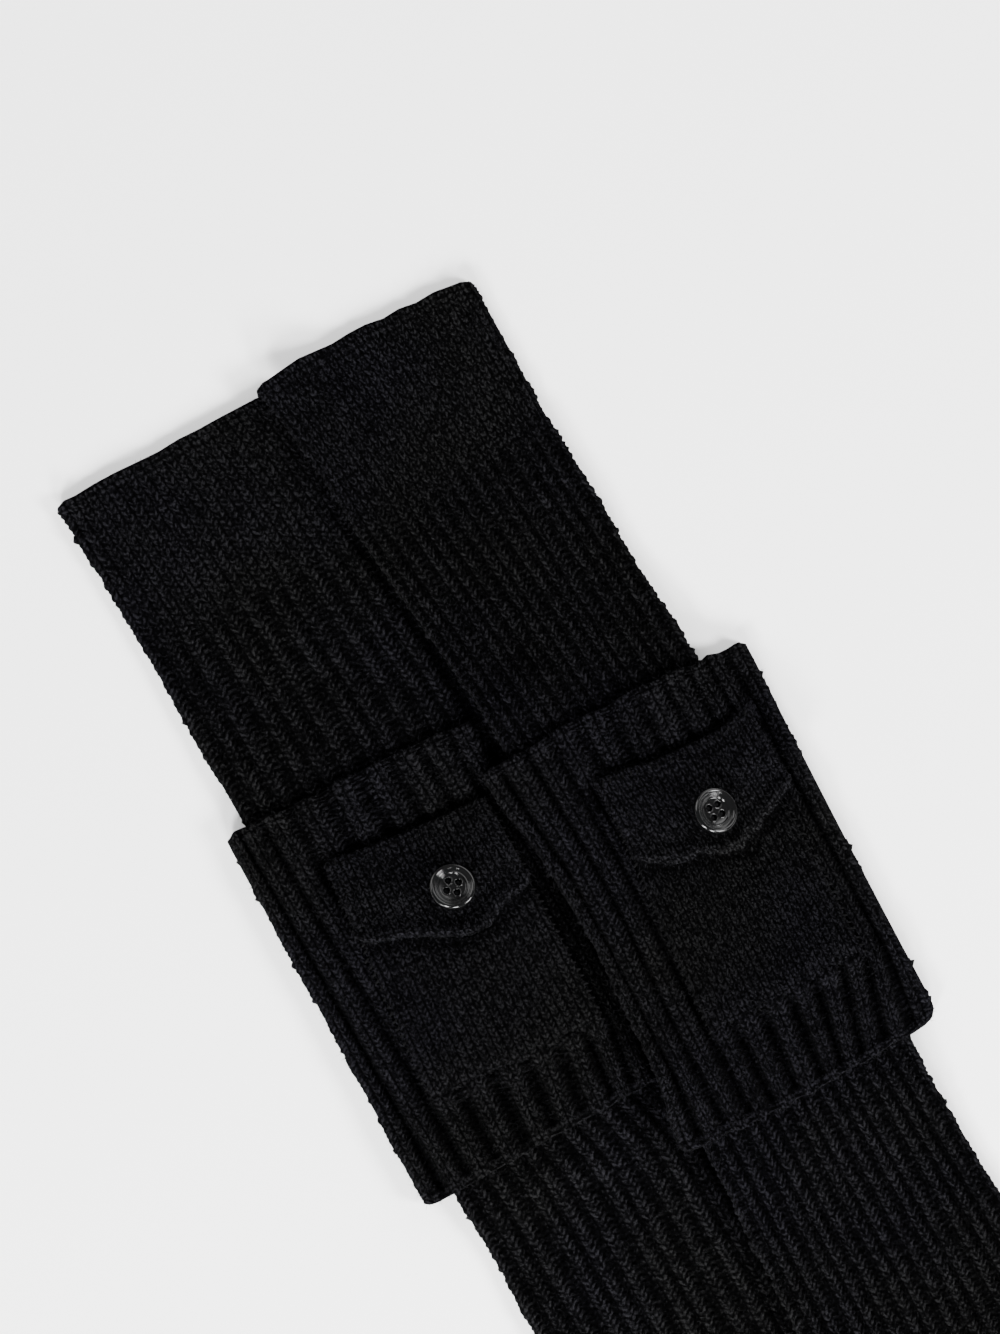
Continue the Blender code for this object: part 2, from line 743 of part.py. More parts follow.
def button_placing(place, rest_z):
    """Matrix that stands a button, tilted, with its lowest edge just over the flap."""
    tilt = math.radians(place.tilt)
    drops = [
        radius * BUTTON_RADIUS * math.sin(tilt) - height * BUTTON_HEIGHT * math.cos(tilt)
        for radius, height in BUTTON_PROFILE
    ]
    at = Vector((place.x, place.y, rest_z + SEAM_GAP + max(drops))) * MM
    facing = Matrix.Rotation(math.radians(place.high_side), 4, "Z")
    holes = Matrix.Rotation(math.radians(place.hole_turn - place.high_side), 4, "Z")
    return Matrix.Translation(at) @ facing @ Matrix.Rotation(tilt, 4, "Y") @ holes


def button_object(name, place, colour):
    """A turned button with a raised rim, a dished face and four holes."""
    bm = bmesh.new()
    profile = []
    for radius, height in BUTTON_PROFILE:
        point = Vector((radius * BUTTON_RADIUS, 0.0, height * BUTTON_HEIGHT)) * MM
        profile.append(bm.verts.new(point))
    edges = [bm.edges.new(pair) for pair in zip(profile, profile[1:])]
    bmesh.ops.spin(
        bm, geom=profile + edges, cent=(0, 0, 0), axis=(0, 0, 1), angle=math.tau,
        steps=BUTTON_SIDES, use_merge=True,
    )
    bmesh.ops.remove_doubles(bm, verts=bm.verts[:], dist=1e-6)
    bmesh.ops.transform(bm, matrix=place, verts=bm.verts[:])
    button = finish(name, bm, colour, roughness=0.15)
    button.modifiers.new("holes", "BOOLEAN")
    cutter_mesh = bmesh.new()
    half = BUTTON_HOLE_PITCH / 2.0
    for side_x in (-half, half):
        for side_y in (-half, half):
            middle = Vector((side_x, side_y, BUTTON_HEIGHT / 2.0)) * MM
            bmesh.ops.create_cone(
                cutter_mesh, cap_ends=True, segments=HOLE_SIDES,
                radius1=BUTTON_HOLE_RADIUS * MM, radius2=BUTTON_HOLE_RADIUS * MM,
                depth=3.0 * BUTTON_HEIGHT * MM,
                matrix=place @ Matrix.Translation(middle),
            )
    cutter = finish(name + "_hole_cutter", cutter_mesh, colour, roughness=0.5)
    cutter.hide_render = True
    cutter.display_type = "WIRE"
    holes = button.modifiers["holes"]
    holes.operation = "DIFFERENCE"
    holes.solver = "EXACT"
    holes.object = cutter
    return button


# ---------------------------------------------------------------- objects and materials
def cloth_or_resin(name, colour, roughness):
    material = bpy.data.materials.new(name + "_finish")
    material.use_nodes = True
    shader = material.node_tree.nodes["Principled BSDF"]
    shader.inputs["Base Color"].default_value = colour
    shader.inputs["Roughness"].default_value = roughness
    shader.inputs["Metallic"].default_value = 0.0
    return material


def finish(name, bm, colour, roughness):
    """Turns a bmesh into a named object with its own material."""
    bmesh.ops.recalc_face_normals(bm, faces=bm.faces[:])
    mesh = bpy.data.meshes.new(name)
    bm.to_mesh(mesh)
    bm.free()
    mesh.shade_smooth()
    mesh.set_sharp_from_angle(angle=math.radians(50.0))
    mesh.materials.append(cloth_or_resin(name, colour, roughness))
    obj = bpy.data.objects.new(name, mesh)
    bpy.context.scene.collection.objects.link(obj)
    return obj


# ---------------------------------------------------------------- the pieces of one sock
def even_grooves(ribs):
    """Grooves between a leg's ribs, at slightly uneven shares of its width."""
    shares = []
    for k in range(1, ribs):
        shares.append((k + RIB_UNEVEN * math.sin(2.3 * k + 0.7)) / ribs)
    return lambda ring: shares


def band_grooves(rows):
    """Grooves that follow the table, as shares of each ring's width."""
    keys = [row.y for row in reversed(rows)]
    columns = list(zip(*[row.x for row in reversed(rows)]))

    def grooves(ring):
        y = 0.5 * (ring.west[1] + ring.east[1])
        width = ring.east[0] - ring.west[0]
        return [(lookup(keys, column, y) - ring.west[0]) / width for column in columns]
    return grooves


def leg_rib(instep_is_west):
    """Rib height of a leg and foot: the foot is ribbed on its instep alone."""
    def rib(ring, share, _y):
        from_instep = share if instep_is_west else 1.0 - share
        covered = 1.0 if ring.reach >= 1.0 else 1.0 - smooth((from_instep - ring.reach) / 0.1)
        return LEG_RIB * ring.ribs * covered
    return rib


def build_sock(prefix, sock, ribs, grooves, flap, button, under_steps, roof_steps):
    body = Tube(
        sock.leg_base, sock.leg_roof, LEG_UNDER, LEG_UPPER,
        leg_rib(sock.instep_is_west), even_grooves(ribs), under_steps, under_steps,
    )
    tube_object(prefix + "_body", sock.leg + sock.foot, body, CLOTH_COLOUR, closed_toe=True)
    sleeve = Tube(
        sock.band_base, sock.band_roof, BAND_UNDER, BAND_UPPER,
        lambda ring, share, y: sock.band_rib(y), band_grooves(grooves),
        under_steps, roof_steps,
    )
    tube_object(prefix + "_band", sock.band, sleeve, CLOTH_COLOUR, closed_toe=False)
    pocket_object(prefix + "_pocket", sock, CLOTH_COLOUR)
    flap_object(prefix + "_flap", sock, flap, CLOTH_COLOUR)
    rest_z = sock.flap_base(button.x, button.y) + FLAP_CLOTH
    button_object(prefix + "_button", button_placing(button, rest_z), BUTTON_COLOUR)


def centre_on_origin():
    """Moves every mesh so that the pair's box is centred over the origin."""
    pieces = [obj for obj in bpy.context.scene.objects if obj.type == "MESH"]
    solid = [obj for obj in pieces if not obj.hide_render]
    points = [vertex.co for obj in solid for vertex in obj.data.vertices]
    middle_x = 0.5 * (min(p.x for p in points) + max(p.x for p in points))
    middle_y = 0.5 * (min(p.y for p in points) + max(p.y for p in points))
    shift = Matrix.Translation((-middle_x, -middle_y, 0.0))
    for obj in pieces:
        obj.data.transform(shift)


def main():
    for obj in list(bpy.data.objects):
        bpy.data.objects.remove(obj)
    left = Sock(
        leg_rings(LEFT_LEG), foot_rings(LEFT_FOOT, mirrored=False), band_rings(LEFT_BAND),
        LEFT_POCKET, floor, instep_is_west=True,
    )
    right = Sock(
        leg_rings(RIGHT_LEG), foot_rings(LEFT_FOOT, mirrored=True), band_rings(RIGHT_BAND),
        RIGHT_POCKET, draped_over(left), instep_is_west=False,
    )
    build_sock(
        "sock_l", left, LEFT_LEG_RIBS, LEFT_GROOVES, LEFT_FLAP, LEFT_BUTTON,
        PLAIN_STEPS, LEFT_BAND_ROOF,
    )
    build_sock(
        "sock_r", right, RIGHT_LEG_RIBS, RIGHT_GROOVES, RIGHT_FLAP, RIGHT_BUTTON,
        DRAPED_STEPS, RIGHT_BAND_ROOF,
    )
    centre_on_origin()


main()
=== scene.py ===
"""A pair of black chunky-knit socks with a pocket band on each, laid flat and knitted over
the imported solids.

Plans are in millimetres on the layout of the solids: x across the socks, y up the legs, and
z up from the floor. Every cloth is one grid wrapped round its solid: rows run down it, a few
to a course of stitches, and columns run round it, a few to a wale.
"""
import math
from typing import NamedTuple

import bmesh
import bpy
import numpy as np
from mathutils import Matrix, Vector
from mathutils.bvhtree import BVHTree


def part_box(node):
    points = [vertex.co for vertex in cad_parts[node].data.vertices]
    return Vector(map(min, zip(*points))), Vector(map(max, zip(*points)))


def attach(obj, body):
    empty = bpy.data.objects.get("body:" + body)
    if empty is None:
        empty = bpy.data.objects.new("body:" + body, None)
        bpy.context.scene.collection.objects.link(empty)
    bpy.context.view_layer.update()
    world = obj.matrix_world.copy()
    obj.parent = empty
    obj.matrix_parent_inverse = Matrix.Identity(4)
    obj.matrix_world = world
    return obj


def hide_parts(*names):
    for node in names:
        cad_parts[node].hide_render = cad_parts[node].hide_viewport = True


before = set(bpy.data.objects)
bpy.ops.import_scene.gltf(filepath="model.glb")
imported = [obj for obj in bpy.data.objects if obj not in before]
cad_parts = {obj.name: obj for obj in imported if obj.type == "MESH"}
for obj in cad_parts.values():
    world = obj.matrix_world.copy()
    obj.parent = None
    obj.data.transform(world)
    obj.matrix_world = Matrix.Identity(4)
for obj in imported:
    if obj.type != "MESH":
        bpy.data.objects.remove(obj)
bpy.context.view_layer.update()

MM = 0.001
LEG_COURSE = 2.16       # height of a stitch on the legs
COURSE = 1.79           # height of a stitch on the bands, pockets and flaps
CHEVRON = 0.85          # how far a stitch's legs rise, as a share of its height
ROWS = 3                # rows of a grid to a course of stitches
LEG_ROW = LEG_COURSE / ROWS
ROW = COURSE / ROWS
LEG_COLUMNS = 4         # columns of a grid to a wale of a leg
COLUMNS = 6             # and to a wale of the other pieces
LEG_WALL = 2.7          # depth of a tube's inner face below its outer one
BAND_WALL = 3.6
RASTER = 2.0            # spacing at which a solid's faces are felt
LEG_LINING = 24         # rows of a leg to a row of its inner face
BAND_LINING = 12
UNLINED_TOE = 36        # rows at a toe with no inner face
LINING_DEEPEST = 0.85   # how far in it may lie, as a share of half the thickness
SEAM_SINK = 2.3         # how far a flap's seam draws the cloths down

# ---------------------------------------------------------------- plans of the pieces
# (west x, east x, height of the west side, how much lower the east side is, bow)
LEFT_LEG = [
    (-97.3, -21.5, 113.2, 2.4, 0.3), (-97.2, -20.4, 107.0, 1.2, 0.0),
    (-96.8, -18.2, 93.0, 0.0, 0.0), (-96.4, -16.8, 77.0, 0.0, 0.0),
    (-96.0, -16.2, 65.0, 0.0, 0.0), (-96.0, -15.8, 59.0, 0.0, 0.0),
    (-95.8, -14.4, 43.0, 0.0, 0.0), (-95.7, -12.2, 23.0, 0.0, 0.0),
    (-95.7, -10.8, 7.0, 0.0, 0.0), (-95.6, -11.0, -3.0, 0.0, 0.0),
    (-95.4, -11.6, -14.0, 0.0, 0.0), (-95.0, -20.0, -29.0, 0.0, 0.0),
    (-95.0, -27.0, -48.0, 0.0, 0.0), (-95.0, -27.0, -92.0, 0.0, 0.0),
    (-95.0, -25.5, -120.0, 0.0, 0.0), (-94.8, -20.5, -139.0, 0.0, 0.0),
    (-94.6, -16.2, -152.0, 0.0, 0.0), (-94.5, -15.4, -160.0, 0.0, 0.0),
    (-94.5, -15.0, -169.0, 0.0, 0.0), (-94.5, -15.0, -194.0, 0.0, 0.0),
    (-94.5, -15.3, -220.0, 0.0, 0.0), (-94.5, -15.5, -245.0, 0.0, 0.0),
]
RIGHT_LEG = [
    (-24.1, 52.9, 114.5, 3.2, 1.2), (-22.8, 52.9, 107.0, 1.0, 0.6),
    (-20.6, 52.8, 94.0, 0.0, 0.0), (-19.3, 52.6, 77.0, 0.0, 0.0),
    (-19.0, 52.3, 65.5, 0.0, 0.0), (-18.9, 52.4, 59.5, 0.0, 0.0),
    (-17.4, 53.0, 43.0, 0.0, 0.0), (-15.4, 53.6, 23.0, 0.0, 0.0),
    (-13.4, 54.2, 3.0, 0.0, 0.0), (-12.0, 54.8, -13.0, 0.0, 0.0),
    (-11.5, 55.4, -24.5, 0.0, 0.0), (-11.5, 55.6, -34.0, 0.0, 0.0),
    (-12.0, 56.0, -62.0, 0.0, 0.0), (-12.8, 56.0, -92.0, 0.0, 0.0),
    (-14.2, 56.0, -120.0, 0.0, 0.0), (-16.2, 55.7, -138.0, 0.0, 0.0),
    (-17.6, 55.4, -152.0, 0.0, 0.0), (-18.3, 55.2, -159.5, 0.0, 0.0),
    (-18.9, 55.0, -167.0, 0.0, 0.0), (-19.2, 54.9, -179.0, 0.0, 0.0),
    (-20.2, 55.3, -198.0, 0.0, 0.0), (-21.5, 55.8, -224.0, 0.0, 0.0),
    (-22.8, 56.0, -245.0, 0.0, 0.0),
]
# (instep x, instep y, sole x, sole y) of the left foot; the right foot mirrors it
FOOT = [
    (-95.2, -256.0, -12.5, -268.0), (-97.4, -263.0, -8.0, -292.0),
    (-100.5, -268.5, -9.0, -313.0), (-105.0, -272.5, -17.5, -330.5),
    (-111.0, -276.0, -33.0, -341.0), (-119.0, -279.5, -54.0, -345.5),
    (-131.0, -283.2, -82.0, -346.5), (-149.0, -287.2, -114.0, -346.3),
    (-168.0, -290.6, -146.0, -345.8), (-186.0, -293.6, -174.0, -345.2),
    (-200.0, -296.6, -194.0, -344.2), (-211.5, -301.0, -208.5, -341.0),
    (-219.5, -307.5, -218.5, -335.0), (-223.6, -315.0, -223.4, -328.0),
]
FOOT_MIRROR = -38.5
LEFT_BAND = [
    (-103.0, -4.5, -4.8, 7.2, 0.6), (-103.2, -5.0, -9.0, 6.6, 0.5),
    (-103.4, -6.5, -22.0, 5.0, 0.0), (-103.6, -8.6, -40.0, 3.0, 0.0),
    (-103.7, -10.6, -62.0, 2.0, 0.0), (-104.0, -12.2, -88.0, 1.0, 0.0),
    (-104.6, -12.6, -110.0, 0.5, 0.0), (-104.9, -12.4, -124.0, 0.5, 0.0),
    (-105.0, -12.6, -133.0, 0.5, 0.0), (-104.4, -13.6, -138.2, 0.3, 0.0),
]
RIGHT_BAND = [
    (-22.9, 72.0, -27.6, 4.1, 2.0), (-22.6, 71.8, -34.0, 3.6, 1.4),
    (-20.6, 71.2, -48.0, 2.6, 0.8), (-18.6, 70.4, -62.0, 2.0, 0.0),
    (-17.8, 69.2, -92.0, 2.0, 0.0), (-19.6, 68.3, -120.0, 2.0, 0.0),
    (-21.2, 67.8, -138.0, 2.4, 0.0), (-24.2, 67.5, -152.0, 3.2, -0.6),
    (-26.6, 67.3, -159.5, 3.6, -1.8), (-24.6, 65.4, -163.2, 1.6, -2.2),
]
# height, then the x of each groove between a band's ribs
LEFT_GROOVES = [
    (-8.0, -98.3, -91.0, -81.2, -68.8, -56.7, -45.0, -34.9, -25.4, -15.2),
    (-114.0, -97.6, -88.8, -77.3, -65.3, -54.5, -43.1, -33.9, -25.4, -18.0),
    (-137.0, -97.6, -88.1, -78.3, -67.2, -57.1, -47.2, -35.8, -28.8, -20.0),
]
RIGHT_GROOVES = [
    (-29.0, -16.7, -6.3, 1.6, 11.7, 22.8, 33.0, 42.2, 51.4, 57.7, 64.4),
    (-68.0, -13.6, -5.5, 1.9, 10.6, 21.2, 31.4, 40.4, 49.9, 56.9, 63.6),
    (-92.0, -14.2, -5.6, 1.2, 10.0, 20.2, 30.4, 39.3, 49.0, 56.3, 63.1),
    (-136.0, -16.0, -8.9, -0.3, 8.6, 18.4, 28.5, 37.4, 47.2, 55.5, 62.2),
    (-161.0, -18.1, -9.6, -1.3, 6.7, 15.5, 25.0, 32.3, 39.3, 47.9, 57.0),
]
# corners: west top, east top, west bottom, east bottom
LEFT_POCKET = ((-79.6, -29.0), (-23.8, -35.0), (-86.8, -111.0), (-26.5, -115.4))
RIGHT_POCKET = ((8.4, -49.5), (58.0, -53.5), (0.4, -135.6), (56.2, -136.8))
# lines down a flap: x and y at its seam, x and y at its free edge
LEFT_FLAP = [
    (-79.3, -27.6, -81.5, -54.0), (-78.4, -27.0, -80.0, -55.6),
    (-73.0, -28.2, -74.6, -57.6), (-66.0, -29.3, -67.2, -60.6),
    (-60.0, -30.2, -60.8, -64.0), (-55.0, -30.9, -55.4, -67.8),
    (-49.2, -31.7, -49.6, -70.4), (-43.0, -32.4, -43.2, -69.6),
    (-37.2, -32.9, -37.4, -66.8), (-31.0, -33.3, -31.2, -64.9),
    (-25.6, -33.6, -25.6, -64.2), (-24.4, -34.4, -24.4, -62.8),
]
RIGHT_FLAP = [
    (7.2, -47.4, 8.2, -75.6), (8.2, -46.7, 9.6, -77.4), (14.0, -47.4, 15.2, -80.2),
    (20.0, -48.4, 21.2, -82.2), (26.0, -50.2, 27.2, -84.0), (32.0, -50.8, 33.0, -86.8),
    (38.6, -51.4, 39.4, -88.2), (44.0, -51.8, 44.6, -85.6), (49.4, -52.0, 49.8, -82.6),
    (55.0, -51.2, 55.6, -80.4), (61.0, -50.0, 61.4, -78.0), (62.2, -50.8, 62.4, -76.2),
]

# x, y, tilt, turn of the raised side from the west, turn of the holes
LEFT_BUTTON = (-47.6, -53.4, 18.0, 46.0, 52.0)
RIGHT_BUTTON = (35.9, -73.0, 27.0, 0.0, -3.5)

# the layout's origin in the row's frame, from the pocket's corners
pocket_low, pocket_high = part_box("sock_l_pocket")
ORIGIN = (pocket_low.x / MM + 86.8, pocket_high.y / MM + 29.0)

random = np.random.default_rng(41)
surfaces = {}           # the points of each cloth, for the fibres that stand on it


# ---------------------------------------------------------------- feeling the solids
def smooth(t):
    """A soft step from 0 at t = 0 to 1 at t = 1."""
    t = np.clip(t, 0.0, 1.0)
    return t * t * (3.0 - 2.0 * t)


def hump(distance, reach):
    """A soft hump, 1 where the distance is 0."""
    return np.exp(-(distance / reach) ** 2)


def shifts(field):
    """A field and its eight neighbours."""
    wide = np.pad(field, 1, mode="edge")
    high, across = field.shape
    return [wide[i:i + high, j:j + across] for i in range(3) for j in range(3)]


class Faces:
    """Heights of a solid's upper and lower face over the plan, its ribs' grooves filled."""

    def __init__(self, node, filled):
        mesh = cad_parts[node].data
        tree = BVHTree.FromPolygons(
            [vertex.co for vertex in mesh.vertices],
            [polygon.vertices[:] for polygon in mesh.polygons],
        )
        low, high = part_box(node)
        self.x = low.x / MM - ORIGIN[0]
        self.y = low.y / MM - ORIGIN[1]
        across = int((high.x - low.x) / MM / RASTER) + 2
        along = int((high.y - low.y) / MM / RASTER) + 2
        self.top = np.full((along, across), np.nan)
        self.under = np.full((along, across), np.nan)
        for j in range(along):
            for i in range(across):
                x = low.x + i * RASTER * MM
                y = low.y + j * RASTER * MM
                above = tree.ray_cast(Vector((x, y, 0.1)), Vector((0.0, 0.0, -1.0)))
                if above[0] is None:
                    continue
                below = tree.ray_cast(Vector((x, y, -0.1)), Vector((0.0, 0.0, 1.0)))
                self.top[j, i] = above[0].z / MM
                self.under[j, i] = below[0].z / MM
        inside = np.min(shifts((~np.isnan(self.top)).astype(float)), axis=0) > 0.5
        self.top[~inside] = np.nan
        self.under[~inside] = np.nan
        self.top = self.spread(self.top)
        self.under = self.spread(self.under)
        for _ in range(filled):
            self.top = np.max(shifts(self.top), axis=0)
        for _ in range(filled):
            self.top = np.min(shifts(self.top), axis=0)
        self.top = np.mean(shifts(self.top), axis=0)

    @staticmethod
    def spread(field):
        """Carries the heights outwards past the solid's edge."""
        for _ in range(8):
            around = np.array(shifts(field))
            known = ~np.isnan(around)
            total = np.where(known, around, 0.0).sum(axis=0)
            count = known.sum(axis=0)
            mean = total / np.maximum(count, 1)
            field = np.where(np.isnan(field) & (count > 0), mean, field)
        return np.where(np.isnan(field), 0.0, field)

    def read(self, field, x, y):
        """Heights between the raster's points."""
        i = np.clip((x - self.x) / RASTER, 0.0, field.shape[1] - 1.001)
        j = np.clip((y - self.y) / RASTER, 0.0, field.shape[0] - 1.001)
        i0 = i.astype(int)
        j0 = j.astype(int)
        a = i - i0
        b = j - j0
        lower = field[j0, i0] * (1 - a) + field[j0, i0 + 1] * a
        upper = field[j0 + 1, i0] * (1 - a) + field[j0 + 1, i0 + 1] * a
        return lower * (1 - b) + upper * b


# ---------------------------------------------------------------- rows and columns
def drawn_down(columns, x, y):
    """How far the cloths sink at a flap's seam, which draws them all down together."""
    table = np.array(columns)
    below = np.interp(x, table[:, 0], table[:, 1]) - y
    beside = np.maximum(table[0, 0] - x, x - table[-1, 0])
    depth = np.where(below > 0.0, smooth(1.0 - below / 17.0), hump(below, 3.4))
    return SEAM_SINK * depth * smooth(1.0 - beside / 5.0)


def softened(table, times):
    """Rounds the corners of curves that run down a table's columns."""
    for _ in range(times):
        middle = (table[:-2] + 2.0 * table[1:-1] + table[2:]) / 4.0
        table = np.concatenate([table[:1], middle, table[-1:]])
    return table


def evenly(rows, spacing, corners=40):
    """Rows of (west x, west y, east x, east y, bow) at an even spacing down a piece."""
    table = np.array(rows, dtype=float)
    west = np.hypot(np.diff(table[:, 0]), np.diff(table[:, 1]))
    east = np.hypot(np.diff(table[:, 2]), np.diff(table[:, 3]))
    run = np.concatenate([[0.0], np.cumsum(0.5 * (west + east))])
    count = round(run[-1] / spacing)
    places = np.linspace(0.0, run[-1], count + 1)
    dense = np.column_stack([np.interp(places, run, column) for column in table.T])
    return softened(dense, corners)


def level_rows(table):
    """A leg's or band's rows as two side points and a bow."""
    return [(west, y, east, y - slant, bow) for west, east, y, slant, bow in table]


def foot_rows(mirrored):
    """A foot's rows as two side points and no bow."""
    rows = []
    for instep_x, instep_y, sole_x, sole_y in FOOT:
        if mirrored:
            rows.append((FOOT_MIRROR - sole_x, sole_y, FOOT_MIRROR - instep_x, instep_y, 0.0))
        else:
            rows.append((instep_x, instep_y, sole_x, sole_y, 0.0))
    return rows


class Wrap:
    """A cloth round a solid: from the middle of its west side over the top, and back."""

    def __init__(self, rows, faces):
        self.west = rows[:, 0:2]
        self.run = rows[:, 2:4] - rows[:, 0:2]
        self.width = np.hypot(self.run[:, 0], self.run[:, 1])[:, None]
        self.bow = rows[:, 4:5]
        self.faces = faces
        self.deepest = 1.25
        x, y = self.plan(np.minimum(3.0, 0.3 * self.width))
        half = 0.5 * (faces.read(faces.top, x, y) - faces.read(faces.under, x, y))
        self.radius = softened(np.minimum(half, 0.45 * self.width), 6)
        self.girth = self.width + (math.pi - 2.0) * self.radius

    def shares_at(self, s):
        """Shares of the way round the upper face at distances across the plan."""
        r = self.radius
        near = r * np.arccos(1.0 - np.clip(s / r, 0.0, 1.0))
        far = r * np.arccos(1.0 - np.clip((self.width - s) / r, 0.0, 1.0))
        middle = s - r + 0.5 * math.pi * r
        arc = np.where(s < r, near, np.where(s > self.width - r, self.girth - far, middle))
        return arc / self.girth

    def plan(self, s):
        """Places on the plan at distances from the west side."""
        share = s / self.width
        x = self.west[:, 0:1] + self.run[:, 0:1] * share
        y = self.west[:, 1:2] + self.run[:, 1:2] * share
        return x, y + self.bow * np.sin(math.pi * np.clip(share, 0.0, 1.0))

    def place(self, share, side, lift, deepest=None):
        """Points at shares of the way round the upper (1) or lower (-1) face, pushed out
        by lift along the cloth's normal, and never further in than a share of its half
        thickness."""
        r = self.radius
        arc = share * self.girth
        quarter = 0.5 * math.pi * r
        from_west = np.minimum(arc / r, 0.5 * math.pi)
        from_east = np.minimum((self.girth - arc) / r, 0.5 * math.pi)
        angle = np.where(arc < self.girth / 2, from_west, math.pi - from_east)
        s = np.where(
            arc < quarter, r * (1.0 - np.cos(from_west)),
            np.where(
                arc > self.girth - quarter, self.width - r * (1.0 - np.cos(from_east)),
                r + arc - quarter,
            ),
        )
        x, y = self.plan(np.clip(s, r, self.width - r))
        top = self.faces.read(self.faces.top, x, y)
        under = self.faces.read(self.faces.under, x, y)
        half = 0.5 * (top - under)
        lift = np.maximum(lift, -(deepest or self.deepest) * half)
        z = 0.5 * (top + under) + side * (half + lift) * np.sin(angle)
        x, y = self.plan(s - np.cos(angle) * lift)
        return np.stack([x, y, z], axis=-1)


class FlapWrap(Wrap):
    """A wrap whose rows follow lines drawn down a flap, from its seam to its free edge."""

    def __init__(self, columns, faces):
        table = np.array(columns)
        down = np.hypot(table[:, 2] - table[:, 0], table[:, 3] - table[:, 1])
        self.count = round(float(down.mean()) / ROW) + 1
        share = (table[:, 0] - table[0, 0]) / (table[-1, 0] - table[0, 0])
        self.shares = np.linspace(0.0, 1.0, 161)
        dense = np.column_stack([np.interp(self.shares, share, c) for c in table.T])
        self.lines = softened(dense, 14)
        self.down = np.linspace(0.0, 1.0, self.count)[:, None]
        ends = [self.lines[0], self.lines[-1]]
        rows = np.column_stack([
            end[i] * (1.0 - self.down) + end[i + 2] * self.down for end in ends for i in (0, 1)
        ] + [0.0 * self.down])
        super().__init__(rows, faces)

    def plan(self, s):
        share = s / self.width
        seam_x, seam_y, free_x, free_y = [
            np.interp(share, self.shares, column) for column in self.lines.T
        ]
        beyond = (share - np.clip(share, 0.0, 1.0)) * self.width
        x = seam_x * (1.0 - self.down) + free_x * self.down + beyond
        return x, seam_y * (1.0 - self.down) + free_y * self.down


def grid_mesh(name, rows, columns):
    """A grid to be put in place, with the row and the column of each of its points."""
    bm = bmesh.new()
    bmesh.ops.create_grid(bm, x_segments=columns - 1, y_segments=rows - 1, size=0.5)
    mesh = bpy.data.meshes.new(name)
    bm.to_mesh(mesh)
    bm.free()
    flat = np.empty(len(mesh.vertices) * 3)
    mesh.vertices.foreach_get("co", flat)
    flat = flat.reshape(-1, 3)
    column = np.rint((flat[:, 0] + 0.5) * (columns - 1)).astype(int)
    row = np.rint((flat[:, 1] + 0.5) * (rows - 1)).astype(int)
    return mesh, row, column


def placed(mesh, points):
    """Puts a mesh's points at their places on the layout."""
    mesh.vertices.foreach_set("co", ((points + np.array([*ORIGIN, 0.0])) * MM).ravel())


def linked(name, mesh):
    """A mesh as an object in the scene."""
    obj = bpy.data.objects.new(name, mesh)
    bpy.context.scene.collection.objects.link(obj)
    return obj


def cloth_object(name, points, uv, purl, low):
    """A grid wrapped into a tube: its first and last columns meet, and its ends are drawn
    together or joined to each other."""
    rows, columns = points.shape[:2]
    mesh, row, column = grid_mesh(name, rows, columns)
    placed(mesh, points[row, column])
    corner = np.empty(len(mesh.loops), dtype=int)
    mesh.loops.foreach_get("vertex_index", corner)
    stitches = mesh.uv_layers.new(name="stitches")
    stitches.data.foreach_set("uv", uv[row, column][corner].ravel())
    # low carries the painted shade and painted highlights to the yarn's shader
    for label, values in (("purl", purl), ("low", low)):
        attribute = mesh.attributes.new(label, "FLOAT", "POINT")
        attribute.data.foreach_set("value", values[row, column])
    on_border = (column == 0) | (column == columns - 1) | (row == 0) | (row == rows - 1)
    bm = bmesh.new()
    bm.from_mesh(mesh)
    bm.verts.ensure_lookup_table()
    border = [bm.verts[i] for i in np.flatnonzero(on_border)]
    bmesh.ops.remove_doubles(bm, verts=border, dist=1e-6)
    bmesh.ops.recalc_face_normals(bm, faces=bm.faces[:])
    bm.to_mesh(mesh)
    bm.free()
    mesh.shade_smooth()
    surfaces[name] = points
    return linked(name, mesh)


def finished(name, fields, wrap, spacing, layers):
    """A knitted piece with the area, the width and the length of its flat cloth."""
    area = layers * float(wrap.width[:, 0].sum()) * spacing
    across = layers * float(wrap.width.max())
    return cloth_object(name, *fields), area, across, len(wrap.width) * spacing


def wandering(shape, size, reach):
    """Soft, uneven waves over a grid; size is how many rows and columns a wave takes."""
    coarse = random.normal(size=(int(shape[0] / size[0]) + 4, int(shape[1] / size[1]) + 4))
    j = np.linspace(1.0, coarse.shape[0] - 2.0, shape[0])
    i = np.linspace(1.0, coarse.shape[1] - 2.0, shape[1])
    down = np.empty((shape[0], coarse.shape[1]))
    for k in range(coarse.shape[1]):
        down[:, k] = np.interp(j, np.arange(coarse.shape[0]), coarse[:, k])
    field = np.empty(shape)
    for k in range(shape[0]):
        field[k] = np.interp(i, np.arange(coarse.shape[1]), down[k])
    return reach * field


